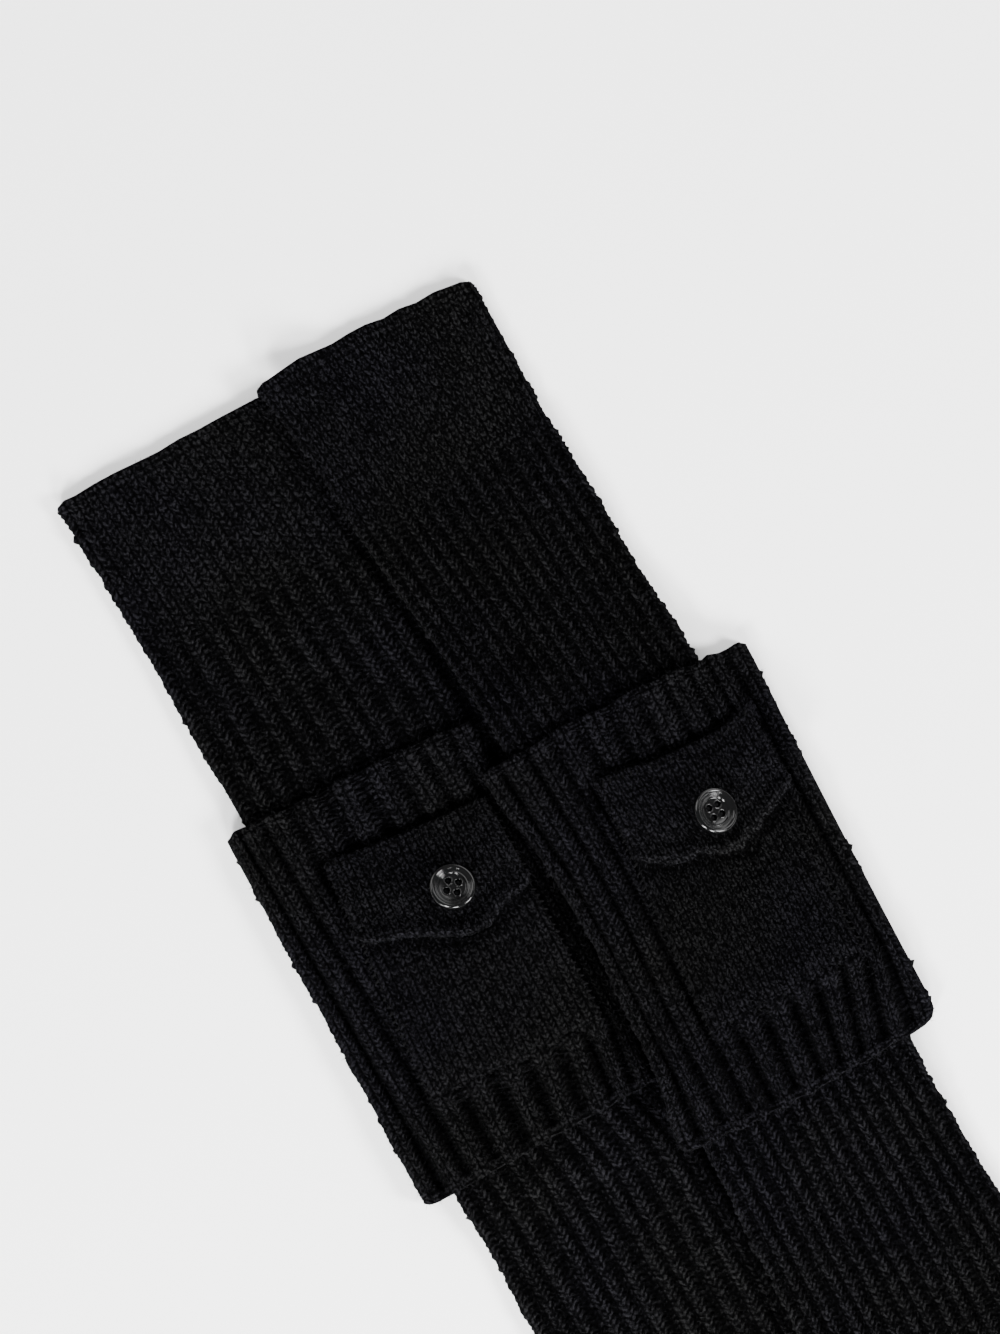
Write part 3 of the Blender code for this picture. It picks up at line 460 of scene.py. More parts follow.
# ---------------------------------------------------------------- knitting
class Knit:
    """Stitches on a wrapped cloth: its wales' edges on each row, which wales are purl, how deep
    the purl wales sink between the ribs, and the painted shade (low) that darkens its grooves."""

    def __init__(self, wrap, edges, kinds, ribbed, depth, per_wale, relief, level):
        rows = len(wrap.width)
        wales = len(kinds)
        fine = np.arange(wales * per_wale + 1)
        wale = np.minimum(fine // per_wale, wales - 1)
        u = fine / per_wale - wale
        share = edges[:, wale] * (1.0 - u) + edges[:, wale + 1] * u
        course = np.arange(rows) / ROWS
        t = (course % 1.0)[:, None]
        spread = np.abs(2.0 * u - 1.0)[None, :]
        purl = np.asarray(kinds, dtype=float)[wale][None, :] * ribbed(share)
        rise = CHEVRON * (1.0 - (1.0 - spread) * (1.0 - purl))
        rise = 0.5 * CHEVRON + (rise - 0.5 * CHEVRON) * level
        strand = np.sin(math.pi * np.clip(0.10 + 0.90 * spread, 0.0, 1.0)) ** 0.8
        bead = 0.35 + 0.65 * np.sin(math.pi * (t + 0.5 / ROWS))
        knit_height = strand * bead - 0.30 * spread ** 6
        head = np.cos(2.0 * math.pi * (t - 0.5)) * np.cos(math.pi * spread)
        purl_height = 0.45 + 0.5 * head
        height = knit_height * (1.0 - purl) + purl_height * purl
        own = random.normal(0.0, 0.17, size=(int(course[-1]) + 1, 2 * wales))
        own = own + random.normal(0.0, 0.09, size=(1, 2 * wales))
        legs = np.minimum((2 * fine) // per_wale, 2 * wales - 1)
        height = height + own[course.astype(int)][:, legs]
        height = height + random.normal(0.0, 0.10, size=height.shape)
        sunk = self.sinking(kinds, per_wale)[None, :] * ribbed(share)
        self.share = share
        self.height = relief * (height - 1.0) - depth * sunk
        # painted shade: low darkens the grooves between the ribs
        self.low = np.clip(sunk, 0.0, 1.0) * np.ones_like(share)
        self.purl = purl * np.ones_like(share)
        self.rise = rise * np.ones_like(share)
        self.uv = np.stack(
            [wale + u + np.zeros_like(share), course[:, None] + self.rise], axis=-1
        )

    @staticmethod
    def sinking(kinds, per_wale):
        """0 on the crown of a rib and 1 at the bottom of a groove, at each column."""
        kinds = list(kinds)
        runs = []
        start = 0
        for k in range(1, len(kinds) + 1):
            if k == len(kinds) or kinds[k] != kinds[start]:
                runs.append((start, k, kinds[start]))
                start = k
        sunk = np.zeros(len(kinds) * per_wale + 1)
        for first, end, purl in runs:
            for column in range(first * per_wale, end * per_wale + 1):
                z = (column / per_wale - first) / (end - first)
                if purl:
                    sunk[column] = 0.3 + 0.7 * math.sin(math.pi * z) ** 0.7
                elif 0.0 < z < 1.0:
                    sunk[column] = 0.3 * abs(2.0 * z - 1.0) ** 3
        sunk[0] = sunk[-1] = 0.0
        return sunk


def all_ribbed(share):
    return 1.0 + 0.0 * share


def none_ribbed(share):
    return 0.0 * share


def lumpy(knit, wrap, ridge):
    """Raises a soft ridge along both folded sides of a tube, uneven from stitch to stitch,
    with a shallow trough inside it; the ridge gets a painted highlight and the trough painted
    shade."""
    rows = len(wrap.width)
    course = np.arange(rows) // ROWS
    for share in (knit.share, 1.0 - knit.share):
        arc = share * wrap.girth
        own = random.normal(0.0, 0.22, size=course[-1] + 1)[course][:, None]
        slow = wandering((rows, 2), (22, 2), 0.35)[:, :1]
        edge = hump(np.maximum(arc - 2.5, 0.0), 2.6)
        trough = hump(arc - 9.0, 1.8)
        knit.height += edge * (ridge + own + slow)
        knit.height -= 0.5 * ridge * trough
        # painted highlight on the ridge, painted shade in the trough
        knit.low = knit.low - 0.35 * edge + 0.3 * trough


def worn_mouth(points, rows_from_end, spacing, way, corner_drop):
    """Makes a tube's mouth uneven, with softly rounded corners; way is 1 for an upper one."""
    x = points[..., 0]
    near_side = np.minimum(
        x - x.min(axis=1, keepdims=True), x.max(axis=1, keepdims=True) - x,
    )
    uneven = wandering((2, points.shape[1]), (2, 9), 0.45)[0]
    uneven[-1] = uneven[0]
    reach = hump(rows_from_end * spacing, 5.0)[:, None]
    corner = hump(rows_from_end * spacing, 3.5)[:, None]
    points[..., 1] += reach * uneven - way * corner_drop * corner * smooth(1.0 - near_side / 3.5)


def along_shift(points, rise):
    """Moves each point up its wale by its share of a course, for the slant of the legs."""
    step = points[:-1] - points[1:]
    step = np.concatenate([step[:1], step])
    return points + step * (rise * ROWS)[..., None]


# shares of the way back round under a tube, east to west
UNDER_SHARES = (0.985, 0.96, 0.93, 0.86, 0.74, 0.62, 0.5, 0.38, 0.26, 0.14, 0.07, 0.04, 0.015)


def wrapped(wrap, knit, under_shares=UNDER_SHARES):
    """Points, UV, purl and painted shade (low) of every row: the knitted top, then the plain
    underside.
    """
    rows = len(wrap.width)
    top = wrap.place(knit.share, 1.0, knit.height)
    top = along_shift(top, knit.rise)
    shares = np.array(under_shares)[None, :] * np.ones((rows, 1))
    under = wrap.place(shares, -1.0, np.zeros_like(shares))
    points = np.concatenate([top, under, top[:, :1]], axis=1)
    wales = knit.uv[:, -1, 0][:, None]
    under_uv = np.stack(
        [wales * (2.0 - shares), knit.uv[:, :1, 1] + np.zeros_like(shares)], axis=-1
    )
    last_uv = np.stack([wales * 2.0, knit.uv[:, :1, 1]], axis=-1)
    uv = np.concatenate([knit.uv, under_uv, last_uv], axis=1)
    blank = np.zeros((rows, len(under_shares) + 1))
    purl = np.concatenate([knit.purl, blank], axis=1)
    low = np.concatenate([knit.low, blank], axis=1)
    return points, uv, purl, low


def lining_rows(wrap, knit, chosen, wall):
    """Rows of the inner wall, at some of the outer rows."""
    top = wrap.place(knit.share, 1.0, -wall + 0.0 * knit.height, deepest=LINING_DEEPEST)
    shares = np.array(UNDER_SHARES)[None, :] * np.ones((len(wrap.width), 1))
    under = wrap.place(shares, -1.0, -wall + 0.0 * shares, deepest=LINING_DEEPEST)
    points = np.concatenate([top, under, top[:, :1]], axis=1)
    return points[chosen]


def lip(outer, inner, out):
    """Two rows that round a mouth's edge between its outer and its inner row."""
    push = np.array(out)
    return np.stack([
        outer * 0.85 + inner * 0.15 + 0.7 * push,
        0.5 * (outer + inner) + push,
        outer * 0.15 + inner * 0.85 + 0.7 * push,
    ])


def extended(field, before, after):
    """A field with its first row repeated before it and its last row after it."""
    return np.concatenate([
        np.repeat(field[:1], before, axis=0), field, np.repeat(field[-1:], after, axis=0),
    ])


def from_ends(count):
    """How many rows each of the rows is from the nearer end, as a column."""
    row = np.arange(count)
    return np.minimum(row, count - 1 - row)[:, None]


def leg_edges(ribs, knit_share, mix):
    """Edges of a leg's wales: one raised knit wale to a rib, and a purl wale between ribs."""
    pitch = 1.0 / (ribs - 1.0 + knit_share)
    ribbed = []
    for k in range(ribs):
        start = (k + 0.10 * math.sin(2.3 * k + 0.7) * (0 < k < ribs - 1)) * pitch
        ribbed += [start, start + knit_share * pitch]
    ribbed[-1] = 1.0
    even = np.linspace(0.0, 1.0, len(ribbed))
    return even * (1.0 - mix) + np.array(ribbed) * mix


def knit_sock_leg(name, node, leg, band, mirrored, ribs, knit_share, depth, over=None):
    """A leg and its foot: a plain hem and toe, with ribs between them that run out over the
    sole. It is pressed in along the leg that lies over it, with a painted shadow there, and
    has fewer rows under its band, where nothing shows."""
    rows = evenly(level_rows(leg) + foot_rows(mirrored), LEG_ROW)
    count = len(rows)
    wrap = Wrap(rows, Faces(node, filled=2))
    wrap.deepest = 0.6
    y_top = 0.5 * (rows[:, 1] + rows[:, 3])
    plain = smooth((y_top - 51.0) / 18.0)
    foot_x = 0.5 * (rows[:, 0] + rows[:, 2])
    from_leg = np.abs(foot_x - foot_x[count // 2])
    toe = smooth((from_leg - 118.0) / 20.0)
    mix = ((1.0 - plain) * (1.0 - toe))[:, None]
    edges = leg_edges(ribs, knit_share, mix)
    edges = edges + wandering(edges.shape, (50, 2), 0.0022) * np.sin(math.pi * edges)
    kinds = [k % 2 for k in range(edges.shape[1] - 1)]
    on_foot = smooth((-y_top - 246.0) / 20.0)[:, None]
    depth = depth * (1.0 - 0.6 * smooth((-y_top - 110.0) / 30.0))[:, None]

    def ribbed(share):
        from_instep = 1.0 - share if mirrored else share
        reach = 1.05 - 0.53 * on_foot
        return mix * (1.0 - smooth((from_instep - reach) / 0.08))

    level = smooth(np.arange(count) / 8.0)[:, None]
    knit = Knit(wrap, edges, kinds, ribbed, depth, LEG_COLUMNS, 0.7, level)
    knit.height += wandering(knit.height.shape, (36, 20), 0.12)
    lumpy(knit, wrap, 0.5)
    if over is not None:
        line = np.array(over)[::-1]
        x, y = wrap.plan(knit.share * wrap.width)
        beside = np.interp(y, line[:, 2], line[:, 0]) - x
        dip = hump(beside - 0.5, 3.2) * (y > line[0, 2])
        knit.height -= 0.4 * dip
        # painted shadow beside the edge of the leg that lies over this one
        knit.low += 0.7 * dip
    # painted shade: the upper leg is darker and more even than the lower one, which the light
    # falls on more brightly
    lower = smooth((-y_top - 110.0) / 30.0)
    shade = 0.26 * (1.0 - lower) * (1.0 - plain) + 0.10 * plain
    knit.low = knit.low * (0.45 + 0.55 * lower)[:, None] + shade[:, None]
    points, uv, purl, low = wrapped(wrap, knit)
    worn_mouth(points, np.arange(count), LEG_ROW, 1.0, 1.5)
    chosen = np.array(sorted(set(range(0, count - UNLINED_TOE, LEG_LINING)) | {1}))
    inner = lining_rows(wrap, knit, chosen[::-1], LEG_WALL)
    under_band = (y_top < band[0][2] - band[0][3] - 10.0) & (y_top > band[-1][2] + 10.0)
    drawn = ~under_band | (np.arange(count) % ROWS == 0)
    points, uv, purl, low = points[drawn], uv[drawn], purl[drawn], low[drawn]
    edge = lip(points[0], inner[-1], (0.0, 0.5, 0.0))[::-1]
    inner_pole = inner[0].mean(axis=0) + np.zeros_like(inner[:1])
    tip = points[-1].mean(axis=0) + np.array([1.0 if mirrored else -1.0, 0.0, 0.0])
    outer_pole = tip + np.zeros_like(points[:1])
    extra = len(inner) + len(edge) + 1
    points = np.concatenate([inner_pole, inner, edge, points, outer_pole])
    uv = extended(uv, extra, 1)
    uv[:extra, :, 1] -= np.arange(extra, 0, -1)[:, None] * 0.5
    purl = extended(purl, extra, 1)
    purl[:extra] = 0.0
    return finished(name, (points, uv, purl, extended(low, extra, 1)), wrap, LEG_ROW, 2)


RIB_KNIT = 6.6          # width of the two knit wales of a band's rib


def band_edges(rows, grooves, gathered):
    """Edges of a band's wales: two knit wales to a rib, and a purl wale in each groove."""
    table = np.array(grooves)[::-1]
    y = 0.5 * (rows[:, 1] + rows[:, 3])
    width = rows[:, 2] - rows[:, 0]
    lines = [(np.interp(y, table[:, 0], x) - rows[:, 0]) / width for x in table[:, 1:].T]
    lines = [np.zeros_like(y)] + lines + [np.ones_like(y)]
    least = 0.13 + 0.10 * gathered
    edges = [lines[0]]
    kinds = []
    for k in range(len(lines) - 1):
        pitch = lines[k + 1] - lines[k]
        groove = np.clip(0.5 - 0.5 * RIB_KNIT / (pitch * width), least, 0.26)
        before = 0.0 if k == 0 else groove
        after = 0.0 if k == len(lines) - 2 else groove
        if k > 0:
            edges.append(lines[k] + before * pitch)
            kinds.append(1)
        edges.append(lines[k] + 0.5 * (1.0 + before - after) * pitch)
        edges.append(lines[k] + (1.0 - after) * pitch)
        kinds += [0, 0]
    return np.stack(edges, axis=1), kinds


def knit_band(name, node, band, grooves, pocket, columns):
    """A sleeve of ribs that lie flat at its mouth and are gathered below the pocket, drawn
    down along the flap's seam and raised along the pocket's foot."""
    rows = evenly(level_rows(band), ROW)
    count = len(rows)
    wrap = Wrap(rows, Faces(node, filled=3))
    wrap.deepest = 0.7
    y = 0.5 * (rows[:, 1] + rows[:, 3])[:, None]
    foot = np.array(pocket[2:])
    pocket_foot = float(foot[:, 1].mean())
    gathered = smooth((pocket_foot + 4.0 - y) / 10.0)
    edges, kinds = band_edges(rows, grooves, gathered[:, 0])
    edges = wrap.shares_at(edges * wrap.width)
    edges = edges + wandering(edges.shape, (40, 2), 0.0030) * np.sin(math.pi * edges)
    drawn_in = smooth((y - y[-1]) / 5.0)
    spread_out = 1.0 - smooth((y[0] - y) / 26.0)
    ends = from_ends(count)
    level = smooth(ends / 7.0)
    knit = Knit(wrap, edges, kinds, all_ribbed, 0.0, COLUMNS, 0.65, level)
    between = smooth((knit.share - 0.18) / 0.12) * smooth((0.86 - knit.share) / 0.12)
    deep = (0.8 + 0.5 * gathered) * (0.3 + 0.7 * drawn_in) * (1.0 - 0.65 * spread_out * between)
    # painted shade in the grooves, deepest where the ribs are gathered
    sunk = knit.low * deep
    knit.height -= 2.3 * sunk
    rim = hump(ends * ROW - 2.2, 1.8)
    # painted highlight on the rolled rim at each mouth
    knit.low = np.clip(sunk, 0.0, 1.0) - 0.35 * rim
    knit.height = knit.height + wandering(knit.height.shape, (30, 24), 0.14) + 0.45 * rim
    lumpy(knit, wrap, 0.25)
    x, y = wrap.plan(knit.share * wrap.width)
    meeting = y - np.interp(x, foot[:, 0], foot[:, 1])
    inside = smooth((x - foot[0, 0]) / 3.0) * smooth((foot[1, 0] - x) / 3.0)
    knit.height += 1.5 * inside * hump(meeting - 0.5, 2.8)
    knit.height -= 1.2 * smooth(1.0 - np.arange(count)[:, None] / 26.0)
    points, uv, purl, low = wrapped(wrap, knit)
    upper = knit.share.shape[1]
    points[:, :upper, 2] -= drawn_down(columns, points[:, :upper, 0], points[:, :upper, 1])
    worn_mouth(points, np.arange(count), ROW, 1.0, 0.7)
    worn_mouth(points, count - 1 - np.arange(count), ROW, -1.0, 1.2)
    chosen = np.array(sorted(set(range(2, count - 2, BAND_LINING)) | {count - 3}))
    inner = lining_rows(wrap, knit, chosen[::-1], BAND_WALL)
    bottom = lip(points[-1], inner[0], (0.0, -0.6, 0.0))
    top = lip(points[0], inner[-1], (0.0, 0.6, 0.0))[::-1]
    extra = len(bottom) + len(inner) + len(top) + 1
    points = np.concatenate([points, bottom, inner, top, points[:1]])
    uv = extended(uv, 0, extra)
    uv[-extra:, :, 1] += np.arange(1, extra + 1)[:, None] * 0.5
    purl = extended(purl, 0, extra)
    return finished(name, (points, uv, purl, extended(low, 0, extra)), wrap, ROW, 2)


# and of the way back round under a pocket or a flap
PATCH_SHARES = (0.985, 0.96, *np.linspace(0.93, 0.07, 30), 0.04, 0.015)


def drawn_together(row, share):
    """A patch's end row, with each point of the upper face brought onto the nearest point of
    the lower one."""
    stops = np.array((1.0, *PATCH_SHARES, 0.0))
    nearest = np.abs(share[:, None] - stops[None, :]).argmin(axis=1)
    return np.concatenate([row[len(share) - 1:][nearest], row[len(share):]])


def knit_patch(name, wrap, wales, rolls, sewn, columns, lifted=0.0, dimple=None,
               pressed=None):
    """A flat piece of plain knit with soft rolled edges, sewn down where it is sewn. Its free
    edge stands off the cloth below, and it is pressed in under another piece's edge. The rolled
    edges get a painted highlight, and the pressed-in part a painted shadow."""
    roll_side, roll_end = rolls
    count = len(wrap.width)
    faces = wrap.faces
    edges = np.linspace(0.0, 1.0, wales + 1)[None, :] * np.ones((count, 1))
    edges = edges + wandering(edges.shape, (24, 4), 0.003) * np.sin(math.pi * edges)
    ends = from_ends(count)
    level = smooth(ends / 7.0)
    knit = Knit(wrap, edges, [0] * wales, none_ribbed, 0.0, COLUMNS, 0.7, level)
    side = np.minimum(knit.share, 1.0 - knit.share) * wrap.width
    from_foot = (count - 1 - np.arange(count))[:, None] * ROW
    from_head = np.arange(count)[:, None] * ROW
    roll = roll_side * hump(side - 2.0, 1.6)
    roll = np.maximum(roll, roll_end * hump(from_foot - 2.3, 2.2))
    knit.height = knit.height + roll + wandering(knit.height.shape, (26, 26), 0.20)
    knit.height -= 0.2 * roll_end * hump(from_foot - 7.0, 1.6)
    # painted highlight on the rolled edges
    knit.low -= 0.65 * roll / max(roll_end, 0.9)
    if dimple is not None:
        x, y = wrap.plan(knit.share * wrap.width)
        away = np.hypot(x - dimple[0], y - dimple[1])
        turn = np.arctan2(y - dimple[1], x - dimple[0])
        pucker = 0.22 * np.sin(7.0 * turn + 1.0) * hump(away - 10.0, 4.0)
        knit.height = knit.height - 0.35 * hump(away, 8.5) + pucker
    if pressed is not None:
        line = np.array(pressed)
        x, y = wrap.plan(knit.share * wrap.width)
        below = np.interp(x, line[:, 0], line[:, 1]) - y
        beside = np.maximum(line[0, 0] - x, x - line[-1, 0])
        dip = hump(below - 1.2, 2.6) * smooth(1.0 - beside / 4.0)
        knit.height -= 0.9 * dip
        # painted shadow under the edge of the piece above
        knit.low += 0.7 * dip
    knit.height = np.maximum(knit.height, -1.2)
    points, uv, purl, low = wrapped(wrap, knit, PATCH_SHARES)
    x = points[..., 0]
    y = points[..., 1]
    top = faces.read(faces.top, x, y)
    under = faces.read(faces.under, x, y)
    nearest = np.minimum(from_foot, from_head)
    thin = np.sqrt(1.0 - np.clip(1.0 - nearest / 1.0, 0.0, 1.0) ** 2)
    core = 0.5 * (top + under)
    points[..., 2] = core + (points[..., 2] - core) * thin
    held_west, held_east, held_foot, held_head = sewn
    share = (x - x.min(axis=1, keepdims=True)) / np.ptp(x, axis=1)[:, None]
    down = hump(share * wrap.width, 1.5) * held_west
    down = np.maximum(down, hump((1.0 - share) * wrap.width, 1.5) * held_east)
    down = np.maximum(down, smooth(1.0 - from_foot / 7.0) * held_foot + 0.0 * down)
    down = np.maximum(down, hump(from_head, 1.8) * held_head + 0.0 * down)
    near_side = np.minimum(share, 1.0 - share) * wrap.width
    free = np.maximum(hump(from_foot, 5.5), 0.5 * hump(near_side, 4.0))
    points[..., 2] += lifted * free * smooth(from_head / 9.0) - down
    tucked = 1.6 * smooth(1.0 - from_foot / 2.2) * min(held_foot, 1.0)
    points[..., 2] -= drawn_down(columns, x, y) + tucked
    foot_share = knit.share[-1]
    uneven = wandering((2, len(foot_share)), (2, 9), 0.5)[0]
    uneven = np.interp(np.array([*foot_share, *PATCH_SHARES, 0.0]), foot_share, uneven)
    points[..., 1] += hump(from_foot, 4.0) * uneven
    head = drawn_together(points[0], knit.share[0])[None]
    end = drawn_together(points[-1], foot_share)[None]
    points = np.concatenate([head, points, end])
    uv, purl, low = [extended(field, 1, 1) for field in (uv, purl, low)]
    return finished(name, (points, uv, purl, low), wrap, ROW, 1)


def pocket_rows(corners):
    """A pocket's first and last row as two side points and no bow."""
    west_top, east_top, west_bottom, east_bottom = corners
    return [(*west_top, *east_top, 0.0), (*west_bottom, *east_bottom, 0.0)]


# ---------------------------------------------------------------- fibres and sewing
def fibres(name, cloth, count, least, most):
    """Short fibres that stand off a cloth, each a thin closed spike, most of them where the
    cloth turns down at its sides."""
    points = surfaces[cloth]
    down = points[1:, :-1] - points[:-1, :-1]
    across = points[:-1, 1:] - points[:-1, :-1]
    normal = np.cross(down, across)
    size = np.linalg.norm(normal, axis=-1, keepdims=True)
    normal = normal / np.maximum(size, 1e-9)
    steep = 1.0 - np.clip(normal[..., 2], 0.0, 1.0)
    weight = size[..., 0] * (0.3 + 7.0 * steep) * (normal[..., 2] > -0.3) * (size[..., 0] < 3.0)
    weight = weight.ravel() / weight.sum()
    chosen = random.choice(len(weight), size=count, p=weight)
    root = points[:-1, :-1].reshape(-1, 3)[chosen]
    outward = normal.reshape(-1, 3)[chosen]
    lean = random.normal(size=(count, 3))
    lean = lean - outward * (lean * outward).sum(axis=1, keepdims=True)
    sway = random.normal(0.0, 0.35, size=(count, 3))
    length = random.uniform(least, most, size=(count, 1))
    way = outward * random.uniform(0.25, 0.8, size=(count, 1)) + 0.55 * lean
    way = way / np.linalg.norm(way, axis=1, keepdims=True)
    middle = root + way * 0.5 * length
    tip = root + (way + sway) * length
    tip[:, 2] = np.maximum(tip[:, 2], 0.1)
    side = np.cross(way, random.normal(size=(count, 3)))
    side = side / np.linalg.norm(side, axis=1, keepdims=True)
    other = np.cross(way, side)
    mesh, row, column = grid_mesh(name, 4, 4 * count)
    one = column // 4
    turn = (column % 4) * math.tau / 3.0
    radius = np.array([0.0, 0.05, 0.04, 0.0])[row][:, None]
    spine = np.stack([root - 0.15 * outward, root, middle, tip])[row, one]
    ring_way = side[one] * np.cos(turn)[:, None] + other[one] * np.sin(turn)[:, None]
    placed(mesh, spine + radius * ring_way)
    bm = bmesh.new()
    bm.from_mesh(mesh)
    between = [face for face in bm.faces if len({one[v.index] for v in face.verts}) > 1]
    bmesh.ops.delete(bm, geom=between, context="FACES")
    bmesh.ops.remove_doubles(bm, verts=bm.verts[:], dist=1e-6)
    bmesh.ops.recalc_face_normals(bm, faces=bm.faces[:])
    bm.to_mesh(mesh)
    bm.free()
    mesh.shade_smooth()
    return linked(name, mesh)


def overcast(name, lines, pitch, reach):
    """Slanted hand stitches over a sewn edge. Each line gives the points along the edge and
    the way out of the piece."""
    bm = bmesh.new()
    for path, out in lines:
        run = np.concatenate([[0.0], np.cumsum(np.linalg.norm(np.diff(path, axis=0), axis=1))])
        places = np.arange(0.5 * pitch, run[-1], pitch)
        places = places + random.uniform(-0.15, 0.15, size=len(places)) * pitch
        spots = np.column_stack([np.interp(places, run, column) for column in path.T])
        ahead = Vector(path[-1] - path[0]).normalized()
        for spot in spots:
            way = Vector(out) + 0.45 * ahead + Vector((0.0, 0.0, -0.35))
            turn = way.to_track_quat("Z", "Y").to_matrix().to_4x4()
            size = Matrix.Diagonal((0.42, 0.42, reach * random.uniform(0.85, 1.15), 1.0))
            at = Matrix.Translation(Vector(spot) + Vector((*ORIGIN, 0.0)))
            bmesh.ops.create_uvsphere(
                bm, u_segments=8, v_segments=5, radius=1.0,
                matrix=Matrix.Scale(MM, 4) @ at @ turn @ size,
            )
    mesh = bpy.data.meshes.new(name)
    bm.to_mesh(mesh)
    bm.free()
    mesh.shade_smooth()
    return linked(name, mesh)


# ---------------------------------------------------------------- buttons
# (radius, height) down a button's section, from the middle of its dish to its underside
BUTTON_SECTION = [
    (0.0, 2.16), (2.0, 2.16), (4.0, 2.17), (4.2, 2.21), (4.34, 2.33), (4.45, 2.56),
    (4.58, 2.72), (4.72, 2.76), (4.88, 2.72), (5.0, 2.68), (5.12, 2.72), (5.25, 2.86),
    (5.4, 2.93), (5.55, 2.91), (5.68, 2.92), (5.82, 3.04), (6.0, 3.22), (6.25, 3.38),
    (6.55, 3.46), (6.85, 3.40), (7.08, 3.24), (7.28, 3.0), (7.42, 2.7), (7.49, 2.35),
    (7.5, 1.9), (7.45, 1.3), (7.28, 0.85), (6.9, 0.5), (6.2, 0.22), (5.2, 0.05), (4.4, 0.0),
    (0.0, 0.0),
]
HOLE_OFFSET = 1.675     # from the middle of the button to a hole, along x and along y
HOLE_RADIUS = 1.05
DISH = 2.18             # height of the dish round the holes


def turned(section, steps):
    """A closed form spun from its section about the upright axis."""
    bm = bmesh.new()
    points = [bm.verts.new((radius, 0.0, height)) for radius, height in section]
    edges = [bm.edges.new(pair) for pair in zip(points, points[1:])]
    bmesh.ops.spin(
        bm, geom=points + edges, cent=(0.0, 0.0, 0.0), axis=(0.0, 0.0, 1.0),
        angle=math.tau, steps=steps, use_merge=True,
    )
    bmesh.ops.remove_doubles(bm, verts=bm.verts[:], dist=1e-4)
    bmesh.ops.recalc_face_normals(bm, faces=bm.faces[:])
    return bm


def kept(name, bm, sharp=40.0):
    """A finished bmesh as an object in the scene, smooth over its soft corners."""
    mesh = bpy.data.meshes.new(name)
    bm.to_mesh(mesh)
    bm.free()
    mesh.shade_smooth()
    mesh.set_sharp_from_angle(angle=math.radians(sharp))
    return linked(name, mesh)


def ring(bm, x, y, z, radius, thickness, steps=24, sides=8):
    """A torus ring laid flat in a bmesh."""
    made = bmesh.ops.create_circle(
        bm, segments=sides, radius=thickness,
        matrix=Matrix.Translation((x + radius, y, z)) @ Matrix.Rotation(math.pi / 2, 4, "X"),
    )["verts"]
    edges = list(dict.fromkeys(edge for vertex in made for edge in vertex.link_edges))
    bmesh.ops.spin(
        bm, geom=made + edges, cent=(x, y, 0.0), axis=(0.0, 0.0, 1.0),
        angle=math.tau, steps=steps, use_merge=True,
    )


def trim(obj, material):
    """Gives a piece that no solid stands for its material."""
    obj.data.materials.append(material)
    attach(obj, "root")


def sew_button(word, node, x, y, tilt, high_side, hole_turn):
    """A four-hole button on its thread, tilted as it hangs over the flap."""
    button = kept(word + "_button", turned(BUTTON_SECTION, 96), 60.0)
    drills = bmesh.new()
    holes = [(a * HOLE_OFFSET, b * HOLE_OFFSET) for a in (-1, 1) for b in (-1, 1)]
    for hole_x, hole_y in holes:
        bmesh.ops.create_cone(
            drills, cap_ends=True, segments=28, radius1=HOLE_RADIUS, radius2=HOLE_RADIUS,
            depth=12.0, matrix=Matrix.Translation((hole_x, hole_y, 1.0)),
        )
    drill = kept(word + "_button_drill", drills)
    cut = button.modifiers.new("holes", "BOOLEAN")
    cut.operation = "DIFFERENCE"
    cut.solver = "EXACT"
    cut.object = drill
    graph = bpy.context.evaluated_depsgraph_get()
    bm = bmesh.new()
    bm.from_object(button, graph)
    bpy.data.objects.remove(drill)
    bpy.data.objects.remove(button)
    for hole_x, hole_y in holes:
        ring(bm, hole_x, hole_y, DISH, HOLE_RADIUS + 0.24, 0.26)
    bmesh.ops.recalc_face_normals(bm, faces=bm.faces[:])
    turn = (
        Matrix.Rotation(math.radians(high_side), 4, "Z")
        @ Matrix.Rotation(math.radians(tilt), 4, "Y")
        @ Matrix.Rotation(math.radians(hole_turn - high_side), 4, "Z")
    )
    bmesh.ops.transform(bm, matrix=turn, verts=bm.verts[:])
    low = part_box(node)[0].z / MM
    drop = low - min(vertex.co.z for vertex in bm.verts)
    seat = Matrix.Translation((x + ORIGIN[0], y + ORIGIN[1], drop))
    to_row = Matrix.Scale(MM, 4) @ seat
    bmesh.ops.transform(bm, matrix=to_row, verts=bm.verts[:])
    button = kept(word + "_button", bm, 50.0)
    button.data.materials.append(resin)
    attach(button, "root")
    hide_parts(node)

    windings = bmesh.new()
    for hole_x, hole_y in holes:
        bmesh.ops.create_cone(
            windings, cap_ends=True, segments=10, radius1=0.42, radius2=0.6, depth=2.9,
            matrix=turn @ Matrix.Translation((hole_x, hole_y, 0.1)),
        )
    for k in range(7):
        ring(windings, 0.0, 0.0, -0.35 - 0.42 * k, 1.5 + 0.12 * math.sin(2.0 * k), 0.3, 18, 6)
    bmesh.ops.create_cone(
        windings, cap_ends=True, segments=14, radius1=1.5, radius2=1.5, depth=3.4,
        matrix=Matrix.Translation((0.0, 0.0, -1.5)),
    )
    bmesh.ops.recalc_face_normals(windings, faces=windings.faces[:])
    bmesh.ops.transform(windings, matrix=to_row, verts=windings.verts[:])
    trim(kept(word + "_button_thread", windings), sewing_thread)


